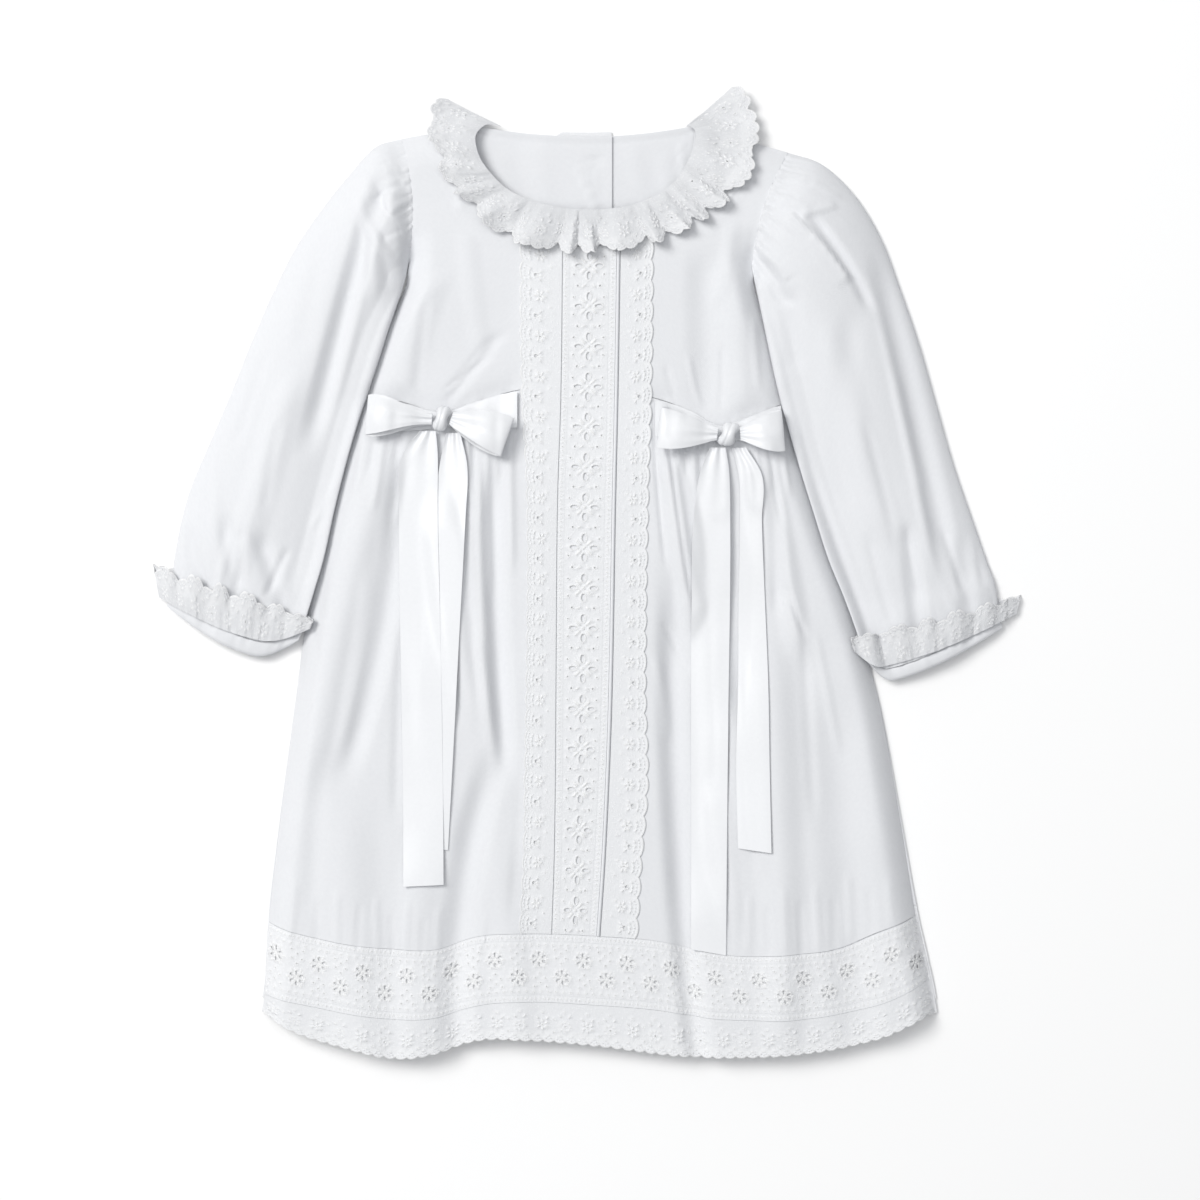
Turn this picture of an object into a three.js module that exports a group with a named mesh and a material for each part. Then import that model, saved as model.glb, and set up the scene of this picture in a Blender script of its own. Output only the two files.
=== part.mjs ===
// A toddler's cotton eyelet dress, laid flat on a surface with its front up.
//
// Millimetres. +Z is up from the surface, +Y runs from the hem to the neck, and +X is the right
// hand of someone looking down at the front. The back rests flat on z = 0. The front is a domed
// wall above it, joined to it only along the side, shoulder and armhole lines, so the bodice,
// the skirt and the sleeves stay hollow. Each piece that a maker cuts is its own closed wall.

import * as THREE from 'three';

const { clamp, lerp, smoothstep } = THREE.MathUtils;

// ---- Driving sizes -------------------------------------------------------------------------

const CLOTH = 1.2; // wall of cotton and of lace
const RIBBON = 1.0; // wall of satin ribbon
const SEAM = 0.3; // gap between two pieces along a seam
const AIR = 0.3; // gap between two layers
const LAPPED = CLOTH + AIR; // one layer and the air above it
const LACE_LAYER = AIR + 0.2; // the centre edging above the cotton
const FOLD_EDGE = 2 * CLOTH + 0.6; // height of a flattened tube along its two folded edges
const SIDE_ROUND = 15; // how far in from a side seam the front still rises
const SHOULDER_ROUND = 20; // the same below the shoulder line
const BEADING_WIDTH = 3.8;
const NECK = { x: -1.5, top: 257.5, halfWidth: 63.5, depth: 49.5, squareness: 2.4 };
const BACK_NECK_DROP = 6.5; // how far the back neck dips below its two ends
const BACK_RUFFLE_DEPTH = 23;
const PLACKET = { edge: 14.2, lap: 20 };
const BACK_WAIST = 95;
const WAIST_DIP = { depth: 1.5, width: 7, from: 34, to: 46 }; // beside the centre front only
const BACK_HEM_RISE = 8; // the back hem lies this much higher than the front one
const HEM_COLUMNS = 28;
const SLEEVE_REACH = 4; // a sleeve bridges what is narrower than this on the dress below it
const CUFF_REACH = 8; // the same at the cuff, where the ruffle is wider than the sleeve
const SLEEVE_CLEARANCE = 0.6;
const CUFF_LIFT = LAPPED + 0.1; // the sleeve's end lies on the back half of its ruffle
const FRAME_SHIFT = { x: 0.25, y: -0.51 }; // puts the middle of the finished dress on the origin

// ---- Tables of the cut: a row for each section, +Y up the dress ----------------------------

// Side seams, from the hem up to the underarms.
const SIDES = [
  { y: -282, left: -190, right: 204 },
  { y: -256, left: -187.7, right: 201 },
  { y: -209, left: -185, right: 191.5 },
  { y: -145, left: -178, right: 181 },
  { y: -75, left: -169, right: 168.5 },
  { y: -29, left: -163, right: 156 },
  { y: 20, left: -152.5, right: 138.5 },
  { y: 60, left: -142, right: 125.5 },
  { y: 100, left: -130.5, right: 115 },
  { y: 140, left: -117, right: 104.5 },
  { y: 163, left: -106, right: 97 },
  { y: 179, left: -103, right: 95 },
];

const ARMHOLES = {
  left: { underarm: [-103, 179], shoulder: [-107, 250], bow: 4 },
  right: { underarm: [95, 175], shoulder: [116, 242], bow: 4 },
};

// The front waist seam: it dips where each bow pulls it in.
const WAIST = [
  { x: -132, y: 100.5 },
  { x: -109, y: 97.5 },
  { x: -86, y: 91.5 },
  { x: -65, y: 97 },
  { x: -39, y: 104 },
  { x: 0, y: 104 },
  { x: 38, y: 99.5 },
  { x: 59, y: 92 },
  { x: 76, y: 83.5 },
  { x: 90, y: 87.3 },
  { x: 117, y: 98 },
];

// The front hem band: its two seams and its lower edge.
const HEM = [
  { x: -187, upper: -205, lower: -243, edge: -256 },
  { x: -167, upper: -211, lower: -247, edge: -266.5 },
  { x: -138, upper: -217, lower: -252.5, edge: -275 },
  { x: -109, upper: -220, lower: -256, edge: -281 },
  { x: -86, upper: -220, lower: -255, edge: -278 },
  { x: -62, upper: -212.5, lower: -248, edge: -270.5 },
  { x: -39, upper: -211, lower: -246, edge: -270.3 },
  { x: 7, upper: -212.5, lower: -248, edge: -274 },
  { x: 42, upper: -215.5, lower: -251, edge: -278.5 },
  { x: 65, upper: -221, lower: -255, edge: -280.5 },
  { x: 88, upper: -224, lower: -256.5, edge: -280.5 },
  { x: 118, upper: -223, lower: -256.5, edge: -279 },
  { x: 146, upper: -219.5, lower: -253, edge: -275 },
  { x: 170, upper: -209.5, lower: -247, edge: -269 },
  { x: 196, upper: -200, lower: -235, edge: -257 },
];

// The centre front: outer scallops, outer side of each beading strip, and the tuck's inner side.
const CENTRE = [
  { y: -212, leftScallop: -40, leftBeading: -20.5, rightBeading: 1, rightScallop: 29 },
  { y: -168, leftScallop: -37.5, leftBeading: -19, rightBeading: 4, rightScallop: 31.5 },
  { y: -122, leftScallop: -36.7, leftBeading: -18.3, rightBeading: 6.3, rightScallop: 35.3 },
  { y: -75, leftScallop: -35.8, leftBeading: -18, rightBeading: 8, rightScallop: 34 },
  { y: 41, leftScallop: -35.5, leftBeading: -17, rightBeading: 10.2, rightScallop: 35.5 },
  { y: 99, leftScallop: -38.5, leftBeading: -15.2, rightBeading: 11.5, rightScallop: 37.3 },
  { y: 210, leftScallop: -39.3, leftBeading: -14, rightBeading: 13.2, rightScallop: 38.5 },
];
const TUCK_WIDTH = 2;

// How far the middle of the front stands above its side seams.
const CROWN = [
  { y: -285, rise: 13 },
  { y: -200, rise: 12.5 },
  { y: -60, rise: 11 },
  { y: 60, rise: 10 },
  { y: 98, rise: 8 },
  { y: 180, rise: 8 },
  { y: 260, rise: 6 },
];

// The largest folds of the front: a ridge is a positive height and a trough a negative one.
// Each runs down the cloth from yTop to yBottom, through three places across it.
const FRONT_FOLDS = [
  { yTop: 85, yBottom: -140, xTop: -112, xMid: -141, xBottom: -163, width: 16, height: 3.5 },
  { yTop: 78, yBottom: -130, xTop: -106, xMid: -116, xBottom: -142, width: 10, height: -3 },
  { yTop: 45, yBottom: -100, xTop: -84, xMid: -75, xBottom: -62, width: 10, height: 3 },
  { yTop: 72, yBottom: -110, xTop: -63, xMid: -61, xBottom: -55, width: 7, height: 3 },
  { yTop: 70, yBottom: -130, xTop: -54, xMid: -52, xBottom: -45, width: 9, height: -4 },
  { yTop: -90, yBottom: -330, xTop: -48, xMid: -74, xBottom: -68, width: 13, height: -4.5 },
  { yTop: -120, yBottom: -340, xTop: -140, xMid: -134, xBottom: -120, width: 22, height: 3 },
  { yTop: -150, yBottom: -330, xTop: -96, xMid: -98, xBottom: -100, width: 16, height: 2 },
  { yTop: -140, yBottom: -340, xTop: -55, xMid: -42, xBottom: -35, width: 16, height: 2 },
  { yTop: 76, yBottom: -40, xTop: 44, xMid: 53, xBottom: 60, width: 8, height: 3.5 },
  { yTop: 10, yBottom: -330, xTop: 50, xMid: 52, xBottom: 72, width: 11, height: -4.5 },
  { yTop: 70, yBottom: -100, xTop: 85, xMid: 85, xBottom: 88, width: 8, height: -3.5 },
  { yTop: 75, yBottom: -60, xTop: 99, xMid: 112, xBottom: 125, width: 11, height: 3.5 },
  { yTop: 60, yBottom: -30, xTop: 104, xMid: 109, xBottom: 111, width: 7, height: -3 },
  { yTop: -20, yBottom: -300, xTop: 104, xMid: 111, xBottom: 112, width: 16, height: 3.5 },
  { yTop: -60, yBottom: -300, xTop: 140, xMid: 150, xBottom: 158, width: 20, height: -3 },
  { yTop: 190, yBottom: 84, xTop: 68, xMid: 68, xBottom: 70, width: 14, height: -2.5 },
  { yTop: 190, yBottom: 86, xTop: 86, xMid: 88, xBottom: 90, width: 12, height: 2 },
  { yTop: 175, yBottom: 96, xTop: -86, xMid: -100, xBottom: -108, width: 14, height: 2 },
  { yTop: 140, yBottom: 94, xTop: -48, xMid: -66, xBottom: -84, width: 8, height: -1.5 },
];

// Sleeve sections from the armhole to the cuff seam: (ax, ay) on the outer fold, (bx, by) on
// the inner one. A section bows towards the cuff, most at `peak` of its width from a to b.
const SLEEVES = {
  left: [
    { ax: -107.3, ay: 250, bx: -103.3, by: 179, bow: -4, peak: 0.5, rise: 8 },
    { ax: -123, ay: 245, bx: -106, by: 166, bow: -2, peak: 0.5, rise: 16 },
    { ax: -138, ay: 229, bx: -110, by: 153, bow: 0, peak: 0.5, rise: 17 },
    { ax: -154, ay: 209, bx: -115, by: 138, bow: 0, peak: 0.5, rise: 16 },
    { ax: -169.5, ay: 186, bx: -120, by: 122, bow: 0, peak: 0.5, rise: 15 },
    { ax: -183, ay: 159, bx: -126, by: 104, bow: 0, peak: 0.5, rise: 14 },
    { ax: -195.5, ay: 130, bx: -132.5, by: 84, bow: 0, peak: 0.5, rise: 13 },
    { ax: -207.5, ay: 100, bx: -139, by: 62, bow: 0, peak: 0.5, rise: 12 },
    { ax: -220, ay: 71, bx: -145.5, by: 36, bow: 1, peak: 0.6, rise: 12 },
    { ax: -231, ay: 44, bx: -151.5, by: 8, bow: 3, peak: 0.65, rise: 12 },
    { ax: -237.5, ay: 16, bx: -158, by: -14, bow: 7, peak: 0.7, rise: 10 },
    { ax: -241.5, ay: -13, bx: -164, by: -33, bow: 14, peak: 0.7, rise: 6 },
  ],
  right: [
    { ax: 116.3, ay: 242, bx: 95.3, by: 175, bow: -4, peak: 0.5, rise: 8 },
    { ax: 136, ay: 235, bx: 98, by: 160, bow: -2, peak: 0.5, rise: 16 },
    { ax: 155, ay: 217, bx: 101, by: 145, bow: 0, peak: 0.5, rise: 18 },
    { ax: 170, ay: 192, bx: 104.5, by: 128, bow: 0, peak: 0.5, rise: 17 },
    { ax: 181, ay: 163, bx: 109, by: 107, bow: 0, peak: 0.5, rise: 15 },
    { ax: 192, ay: 131, bx: 115, by: 84, bow: 0, peak: 0.5, rise: 14 },
    { ax: 202, ay: 96, bx: 122, by: 60, bow: 0, peak: 0.5, rise: 13 },
    { ax: 212, ay: 61, bx: 130, by: 34, bow: 0, peak: 0.5, rise: 12 },
    { ax: 223, ay: 29, bx: 138.5, by: 7, bow: 1, peak: 0.6, rise: 12 },
    { ax: 231, ay: 6, bx: 147.5, by: -15, bow: 4, peak: 0.7, rise: 11 },
    { ax: 236, ay: -9, bx: 153, by: -30, bow: 8, peak: 0.8, rise: 9 },
    { ax: 238.5, ay: -26, bx: 158.5, by: -46, bow: 14, peak: 0.85, rise: 6 },
  ],
};

const SLEEVE_FOLDS = [
  { yTop: 240, yBottom: 60, xTop: -114, xMid: -139, xBottom: -163, width: 10, height: -5 },
  { yTop: 232, yBottom: 150, xTop: -128, xMid: -124, xBottom: -120, width: 8, height: 2.5 },
  { yTop: 120, yBottom: -10, xTop: -168, xMid: -186, xBottom: -206, width: 14, height: 2.5 },
  { yTop: 30, yBottom: -40, xTop: -232, xMid: -224, xBottom: -218, width: 8, height: -2.5 },
  { yTop: 35, yBottom: -40, xTop: -209, xMid: -203, xBottom: -197, width: 8, height: -3 },
  { yTop: 25, yBottom: -40, xTop: -190, xMid: -180, xBottom: -172, width: 8, height: -3 },
  { yTop: 196, yBottom: -10, xTop: 164, xMid: 189, xBottom: 210, width: 11, height: -5 },
  { yTop: 206, yBottom: 140, xTop: 121, xMid: 138, xBottom: 160, width: 9, height: -4 },
  { yTop: 182, yBottom: 150, xTop: 97, xMid: 106, xBottom: 117, width: 8, height: -3 },
  { yTop: 70, yBottom: -60, xTop: 121, xMid: 145, xBottom: 172, width: 9, height: -4.5 },
  { yTop: 150, yBottom: 10, xTop: 134, xMid: 152, xBottom: 174, width: 16, height: 2.5 },
  { yTop: 30, yBottom: -50, xTop: 182, xMid: 188, xBottom: 192, width: 8, height: -3 },
  { yTop: 25, yBottom: -50, xTop: 216, xMid: 219, xBottom: 222, width: 8, height: -2.5 },
];

// The end of each cuff band, and the sewn and the free edge of the ruffle turned up over the
// sleeve from there.
const CUFFS = {
  left: {
    end: { ax: -243.5, ay: -20.5, bx: -166.5, by: -40, bow: 15.5, peak: 0.7, rise: 5 },
    ruffleRoot: { ax: -248, ay: -15.5, bx: -159.5, by: -33.5, bow: 12.5, peak: 0.7 },
    ruffleEdge: { ax: -251.5, ay: 4, bx: -157.5, by: -28, bow: -3.5, peak: 0.5 },
  },
  right: {
    end: { ax: 240.5, ay: -33, bx: 161.5, by: -53, bow: 14, peak: 0.85, rise: 5 },
    ruffleRoot: { ax: 248.5, ay: -25, bx: 153, by: -46, bow: 13, peak: 0.85 },
    ruffleEdge: { ax: 251, ay: -14, bx: 151.5, by: -38.5, bow: -1.5, peak: 0.4 },
  },
};
const CUFF_RUFFLE = { waves: 5.5, swell: 4 };

// The neck ruffle, from the left shoulder round the front to the right one: its sewn edge on
// the neck curve, its free edge, and how far that free edge stands up.
const NECK_RUFFLE = [
  { row: 0, rootX: -50, rootY: 256.5, edgeX: -86, edgeY: 275, stand: 6 },
  { row: 1, rootX: -59, rootY: 257, edgeX: -91, edgeY: 267, stand: 6 },
  { row: 2, rootX: -64.5, rootY: 250, edgeX: -92.5, edgeY: 254, stand: 4 },
  { row: 3, rootX: -62, rootY: 238, edgeX: -88, edgeY: 239, stand: 2 },
  { row: 4, rootX: -55, rootY: 228, edgeX: -83, edgeY: 222, stand: 1 },
  { row: 5, rootX: -46, rootY: 219.5, edgeX: -66, edgeY: 206, stand: 1 },
  { row: 6, rootX: -33, rootY: 213, edgeX: -48, edgeY: 189.5, stand: 1 },
  { row: 7, rootX: -15, rootY: 208.5, edgeX: -23, edgeY: 182.5, stand: 1 },
  { row: 8, rootX: 1, rootY: 207.5, edgeX: 3, edgeY: 181.5, stand: 1 },
  { row: 9, rootX: 18, rootY: 208.5, edgeX: 26, edgeY: 185, stand: 1 },
  { row: 10, rootX: 34, rootY: 212.5, edgeX: 48, edgeY: 190, stand: 1 },
  { row: 11, rootX: 47, rootY: 220.5, edgeX: 68, edgeY: 201, stand: 1 },
  { row: 12, rootX: 55.5, rootY: 231, edgeX: 84, edgeY: 213, stand: 2 },
  { row: 13, rootX: 61, rootY: 243, edgeX: 96, edgeY: 230, stand: 3 },
  { row: 14, rootX: 62.5, rootY: 252, edgeX: 99.5, edgeY: 252, stand: 5 },
  { row: 15, rootX: 60, rootY: 256, edgeX: 95.5, edgeY: 270, stand: 7 },
  { row: 16, rootX: 57, rootY: 256.5, edgeX: 87, edgeY: 282, stand: 7 },
];
const NECK_RUFFLE_WAVES = 13;
const NECK_RUFFLE_SWELL = 5;
const BACK_RUFFLE = { left: -50, right: 58, end: { from: -20, to: -14, height: 3.2 } };

// Bows. A knot is seated on its bands, which run along the waist seam. A loop goes out to
// (x, y) and back. Tails are listed from the cut end up to the knot: the middle of the ribbon,
// its width as it lies, and its layer above the cloth.
const BOWS = {
  left: {
    knot: { x: -83.5, y: 87, width: 10, length: 15, seat: 0.15 },
    innerBand: { x: -40.4, top: 103, bottom: 82 },
    outerBand: { x: -126, top: 98.5, bottom: 79 },
    innerLoop: { x: -46, y: 76 },
    outerLoop: { x: -126.5, y: 89 },
    longTail: [
      { y: -181, x: -94, width: 23, layer: 0.5 },
      { y: -130, x: -94.4, width: 23, layer: 0.5 },
      { y: -75, x: -95.2, width: 23, layer: 0.5 },
      { y: -17, x: -96.3, width: 23, layer: 0.5 },
      { y: 40, x: -97, width: 22, layer: 0.5 },
      { y: 67, x: -96, width: 20, layer: 1.2 },
      { y: 80, x: -91.5, width: 9, layer: 1.7 },
    ],
    shortTail: [
      { y: -160, x: -91, width: 22, layer: 0.5 },
      { y: -104, x: -88, width: 22, layer: 1.1 },
      { y: -28, x: -83.5, width: 21, layer: 0.8 },
      { y: 30, x: -79.5, width: 19, layer: 0.5 },
      { y: 60, x: -77, width: 16, layer: 1.2 },
      { y: 79, x: -77, width: 8, layer: 1.7 },
    ],
  },
  right: {
    knot: { x: 81, y: 78, width: 12, length: 14, seat: 0.05 },
    innerBand: { x: 39, top: 98, bottom: 77 },
    outerBand: { x: 111.5, top: 95, bottom: 76 },
    innerLoop: { x: 41.2, y: 82 },
    outerLoop: { x: 112, y: 80 },
    longTail: [
      { y: -219.5, x: 69.6, width: 20, layer: 0.5 },
      { y: -150, x: 70, width: 20.5, layer: 0.5 },
      { y: -75, x: 70.4, width: 21.5, layer: 0.5 },
      { y: -17, x: 71, width: 22, layer: 0.5 },
      { y: 29, x: 71.6, width: 21, layer: 0.5 },
      { y: 58, x: 73.4, width: 16, layer: 1.2 },
      { y: 70.5, x: 75, width: 9, layer: 1.7 },
    ],
    shortTail: [
      { y: -161, x: 96, width: 19, layer: 0.5 },
      { y: -110, x: 95, width: 19, layer: 0.5 },
      { y: -63, x: 95.2, width: 17, layer: 0.5 },
      { y: -17, x: 94.5, width: 15, layer: 0.5 },
      { y: 28, x: 94, width: 12.5, layer: 0.6 },
      { y: 55, x: 93.5, width: 13, layer: 1.2 },
      { y: 70.5, x: 87, width: 8, layer: 1.7 },
    ],
  },
};
const BOW_LAYER = 4.4; // how far a bow's loops lie above the cloth
const LOOP_RISE = 8;
const LOOP_WIDTH = { knot: 7, end: 23 };
const RIBBON_REACH = 5; // gathers narrower than this are bridged by a ribbon
const TAIL_ROWS = 14;

const COLOURS = { cotton: 0xeceef4, lace: 0xf1f2f6, satin: 0xf4f5fa };

// ---- Reading the tables --------------------------------------------------------------------

// One column of a table, read smoothly at `at` in its `key` column, whose values rise.
function read(table, key, name, at) {
  const last = table.length - 1;
  const place = clamp(at, table[0][key], table[last][key]);
  let row = 0;
  while (row < last - 1 && place > table[row + 1][key]) {
    row += 1;
  }
  const slope = (a, b) => (table[b][name] - table[a][name]) / (table[b][key] - table[a][key]);
  const here = slope(row, row + 1);
  const before = row > 0 ? (here + slope(row - 1, row)) / 2 : here;
  const after = row + 2 <= last ? (here + slope(row + 1, row + 2)) / 2 : here;
  const span = table[row + 1][key] - table[row][key];
  const t = (place - table[row][key]) / span;
  const rise = table[row + 1][name] - table[row][name];
  const from = before * span - rise;
  const to = rise - after * span;
  return table[row][name] + t * rise + t * (1 - t) * (from * (1 - t) + to * t);
}

const sideLeft = (y) => read(SIDES, 'y', 'left', y);
const sideRight = (y) => read(SIDES, 'y', 'right', y);
const waistY = (x) => read(WAIST, 'x', 'y', x);
const hemY = (x, line) => read(HEM, 'x', line, x);
const centreX = (y, line) => read(CENTRE, 'y', line, y);

// ---- Outlines: functions from 0..1 to a point [x, y] ---------------------------------------

const pointOn = (a, b, t) => [lerp(a[0], b[0], t), lerp(a[1], b[1], t)];

// A point t of the way from a to b, moved sideways by an arch that is highest at `peak`.
function bowedChord(a, b, bow, peak, t) {
  const rise = t < peak ? t / peak : (1 - t) / (1 - peak);
  const shift = bow * Math.sin((Math.PI / 2) * clamp(rise, 0, 1));
  const dx = b[0] - a[0];
  const dy = b[1] - a[1];
  const length = Math.hypot(dx, dy);
  return [lerp(a[0], b[0], t) + (shift * dy) / length, lerp(a[1], b[1], t) - (shift * dx) / length];
}

function armhole(side, t) {
  const { underarm, shoulder, bow } = ARMHOLES[side];
  return bowedChord(underarm, shoulder, side === 'left' ? bow : -bow, 0.5, t);
}

// The neck curve by angle: 0 at the left end, 90 at the middle of the front, 180 at the right.
function neckPoint(angle) {
  const turn = THREE.MathUtils.degToRad(angle);
  const power = 2 / NECK.squareness;
  const across = Math.sign(Math.cos(turn)) * Math.abs(Math.cos(turn)) ** power;
  const down = Math.sign(Math.sin(turn)) * Math.abs(Math.sin(turn)) ** power;
  return [NECK.x - NECK.halfWidth * across, NECK.top - NECK.depth * down];
}

function neckY(x) {
  const across = Math.min(Math.abs(x - NECK.x) / NECK.halfWidth, 1);
  return NECK.top - NECK.depth * (1 - across ** NECK.squareness) ** (1 / NECK.squareness);
}

// The angle at which the neck curve passes x, in its lower half.
function neckAngle(x) {
  const across = (NECK.x - x) / NECK.halfWidth;
  const cosine = Math.sign(across) * Math.abs(across) ** (NECK.squareness / 2);
  return THREE.MathUtils.radToDeg(Math.acos(cosine));
}

function backNeckY(x) {
  const across = clamp((x - NECK.x) / NECK.halfWidth, -1, 1);
  return NECK.top - BACK_NECK_DROP * (1 - across ** 2);
}

// Height of the shoulder line over x, straight from the neck to each armhole.
function shoulderY(x) {
  const side = x < NECK.x ? 'left' : 'right';
  const tip = ARMHOLES[side].shoulder;
  const t = (Math.abs(x - NECK.x) - NECK.halfWidth) / (Math.abs(tip[0] - NECK.x) - NECK.halfWidth);
  return lerp(NECK.top, tip[1], Math.max(t, 0));
}

// A patch of cloth between four edges, each a function from 0..1 to [x, y].
function patch(bottom, top, left, right) {
  return (u, v) =>
    [0, 1].map((k) => {
      const ruled = lerp(bottom(u)[k], top(u)[k], v) + lerp(left(v)[k], right(v)[k], u);
      const corners = lerp(lerp(bottom(0)[k], bottom(1)[k], u), lerp(top(0)[k], top(1)[k], u), v);
      return ruled - corners;
    });
}

// Runs along `first` up to half way and then along `second`.
const halves = (first, second) => (t) => (t < 0.5 ? first(2 * t) : second(2 * t - 1));

// ---- Heights -------------------------------------------------------------------------------

const roundUp = (distance, reach) => Math.sin((Math.PI / 2) * clamp(distance / reach, 0, 1));

// The sum of a table of folds at (x, y).
function foldHeight(folds, x, y) {
  let height = 0;
  for (const fold of folds) {
    const t = (fold.yTop - y) / (fold.yTop - fold.yBottom);
    if (t > 0 && t < 1) {
      const bend = fold.xMid - (fold.xTop + fold.xBottom) / 2;
      const middle = lerp(fold.xTop, fold.xBottom, t) + 4 * bend * t * (1 - t);
      const off = Math.abs(x - middle) / fold.width;
      const ends = smoothstep(t, 0, 0.2) * smoothstep(1 - t, 0, 0.2);
      height += off < 1 ? fold.height * ends * Math.cos((Math.PI / 2) * off) ** 2 : 0;
    }
  }
  return height;
}

// The back lies on the floor, lifted a little where the ruffle is turned behind the neck.
function backLift(x, y) {
  const across = smoothstep(NECK.halfWidth + 14 - Math.abs(x - NECK.x), 0, 8);
  const ruffleEnd = NECK.top - BACK_NECK_DROP - BACK_RUFFLE_DEPTH;
  return LAPPED * across * smoothstep(y, ruffleEnd - 24, ruffleEnd - 14);
}

// Top of the front's cotton.
function frontTop(x, y) {
  const side = x < NECK.x ? 'left' : 'right';
  const inward = side === 'left' ? x - sideLeft(y) : sideRight(y) - x;
  const underarm = ARMHOLES[side].underarm[1];
  const sideRise = lerp(roundUp(inward, SIDE_ROUND), 1, smoothstep(y, underarm, underarm + 26));
  const shoulderRise = roundUp(shoulderY(x) - y, SHOULDER_ROUND);
  const fromWaist = (y - waistY(x)) / WAIST_DIP.width;
  const beside = smoothstep(Math.abs(x - NECK.x), WAIST_DIP.from, WAIST_DIP.to);
  const dip = WAIST_DIP.depth * Math.exp(-(fromWaist ** 2)) * beside;
  const crown = read(CROWN, 'y', 'rise', y) + foldHeight(FRONT_FOLDS, x, y) - dip;
  return CLOTH + LAPPED + backLift(x, y) + crown * sideRise * shoulderRise;
}

// Top of everything that lies on the front, falling away to the floor outside its side seams.
function dressTop(x, y) {
  const outside = Math.max(sideLeft(y) - x, x - sideRight(y), y - shoulderY(x), 0);
  const onCentre = Math.abs(x) < 42 && y < NECK.top - NECK.depth + 6 ? LAPPED : 0;
  return outside > 0 ? Math.max(CLOTH + LAPPED - outside / 2, 0) : frontTop(x, y) + onCentre;
}

// The height at which a stiffer layer rests on the dress: it bridges what is narrower than reach.
function restOn(x, y, reach) {
  let height = dressTop(x, y);
  for (let turn = 0; turn < 8; turn += 1) {
    const angle = (turn * Math.PI) / 4;
    height = Math.max(height, dressTop(x + reach * Math.cos(angle), y + reach * Math.sin(angle)));
  }
  return height;
}

// ---- Closed walls --------------------------------------------------------------------------

// A closed wall between two grids of points. Each grid function gives [x, y, z] for a column
// and a row. A ring closes on itself along its columns, and is open at its first and last rows.
function wallBetween(columns, rows, outer, inner, isRing = false) {
  const across = isRing ? columns : columns + 1;
  const positions = [];
  for (const grid of [outer, inner]) {
    for (let row = 0; row <= rows; row += 1) {
      for (let column = 0; column < across; column += 1) {
        positions.push(...grid(column, row));
      }
    }
  }
  const half = across * (rows + 1);
  const outerAt = (column, row) => row * across + (column % across);
  const innerAt = (column, row) => half + outerAt(column, row);
  const faces = [];
  const quad = (a, b, c, d) => faces.push(a, b, c, a, c, d);
  for (let row = 0; row < rows; row += 1) {
    for (let column = 0; column < columns; column += 1) {
      const [a, b] = [[column, row], [column + 1, row]];
      const [c, d] = [[column + 1, row + 1], [column, row + 1]];
      quad(outerAt(...a), outerAt(...b), outerAt(...c), outerAt(...d));
      quad(innerAt(...d), innerAt(...c), innerAt(...b), innerAt(...a));
    }
  }
  const rim = (a, b) => quad(innerAt(...a), innerAt(...b), outerAt(...b), outerAt(...a));
  for (let column = 0; column < columns; column += 1) {
    rim([column, 0], [column + 1, 0]);
    rim([column + 1, rows], [column, rows]);
  }
  for (let row = 0; row < rows && !isRing; row += 1) {
    rim([0, row + 1], [0, row]);
    rim([columns, row], [columns, row + 1]);
  }
  const geometry = new THREE.BufferGeometry();
  geometry.setAttribute('position', new THREE.Float32BufferAttribute(positions, 3));
  geometry.setIndex(faces);
  if (signedVolume(positions, faces) < 0) {
    geometry.setIndex(faces.reverse());
  }
  geometry.computeVertexNormals();
  return geometry;
}

function signedVolume(positions, faces) {
  const corner = (index) => new THREE.Vector3().fromArray(positions, 3 * index);
  let volume = 0;
  for (let i = 0; i < faces.length; i += 3) {
    const [a, b, c] = [corner(faces[i]), corner(faces[i + 1]), corner(faces[i + 2])];
    volume += a.dot(b.cross(c)) / 6;
  }
  return volume;
}

// A point on a height field, moved out along its normal.
function pointAbove(height, x, y, out) {
  const step = 1.5;
  const slopeX = (height(x + step, y) - height(x - step, y)) / (2 * step);
  const slopeY = (height(x, y + step) - height(x, y - step)) / (2 * step);
  const length = Math.hypot(slopeX, slopeY, 1);
  return [x - (out * slopeX) / length, y - (out * slopeY) / length, height(x, y) + out / length];
}

// A wall of cloth on a height field, over a patch: `under` and `over` are its two faces,
// measured out from the field.
function clothPanel(place, columns, rows, height, under, over) {
  const at = (out) => (column, row) => {
    const [x, y] = place(column / columns, row / rows);
    return pointAbove(height, x, y, out);
  };
  return wallBetween(columns, rows, at(over), at(under));
}

// Moves each corner of a closed loop of [along, z] points inwards by a distance.
function insetLoop(loop, distance) {
  return loop.map((point, i) => {
    const before = loop[(i + loop.length - 1) % loop.length];
    const after = loop[(i + 1) % loop.length];
    const normals = [[before, point], [point, after]].map(([a, b]) => {
      const length = Math.hypot(b[0] - a[0], b[1] - a[1]);
      return [(b[1] - a[1]) / length, -(b[0] - a[0]) / length];
    });
    const sum = [normals[0][0] + normals[1][0], normals[0][1] + normals[1][1]];
    const scale = (2 * distance) / Math.max(sum[0] ** 2 + sum[1] ** 2, 1);
    return [point[0] + sum[0] * scale, point[1] + sum[1] * scale];
  });
}

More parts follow.
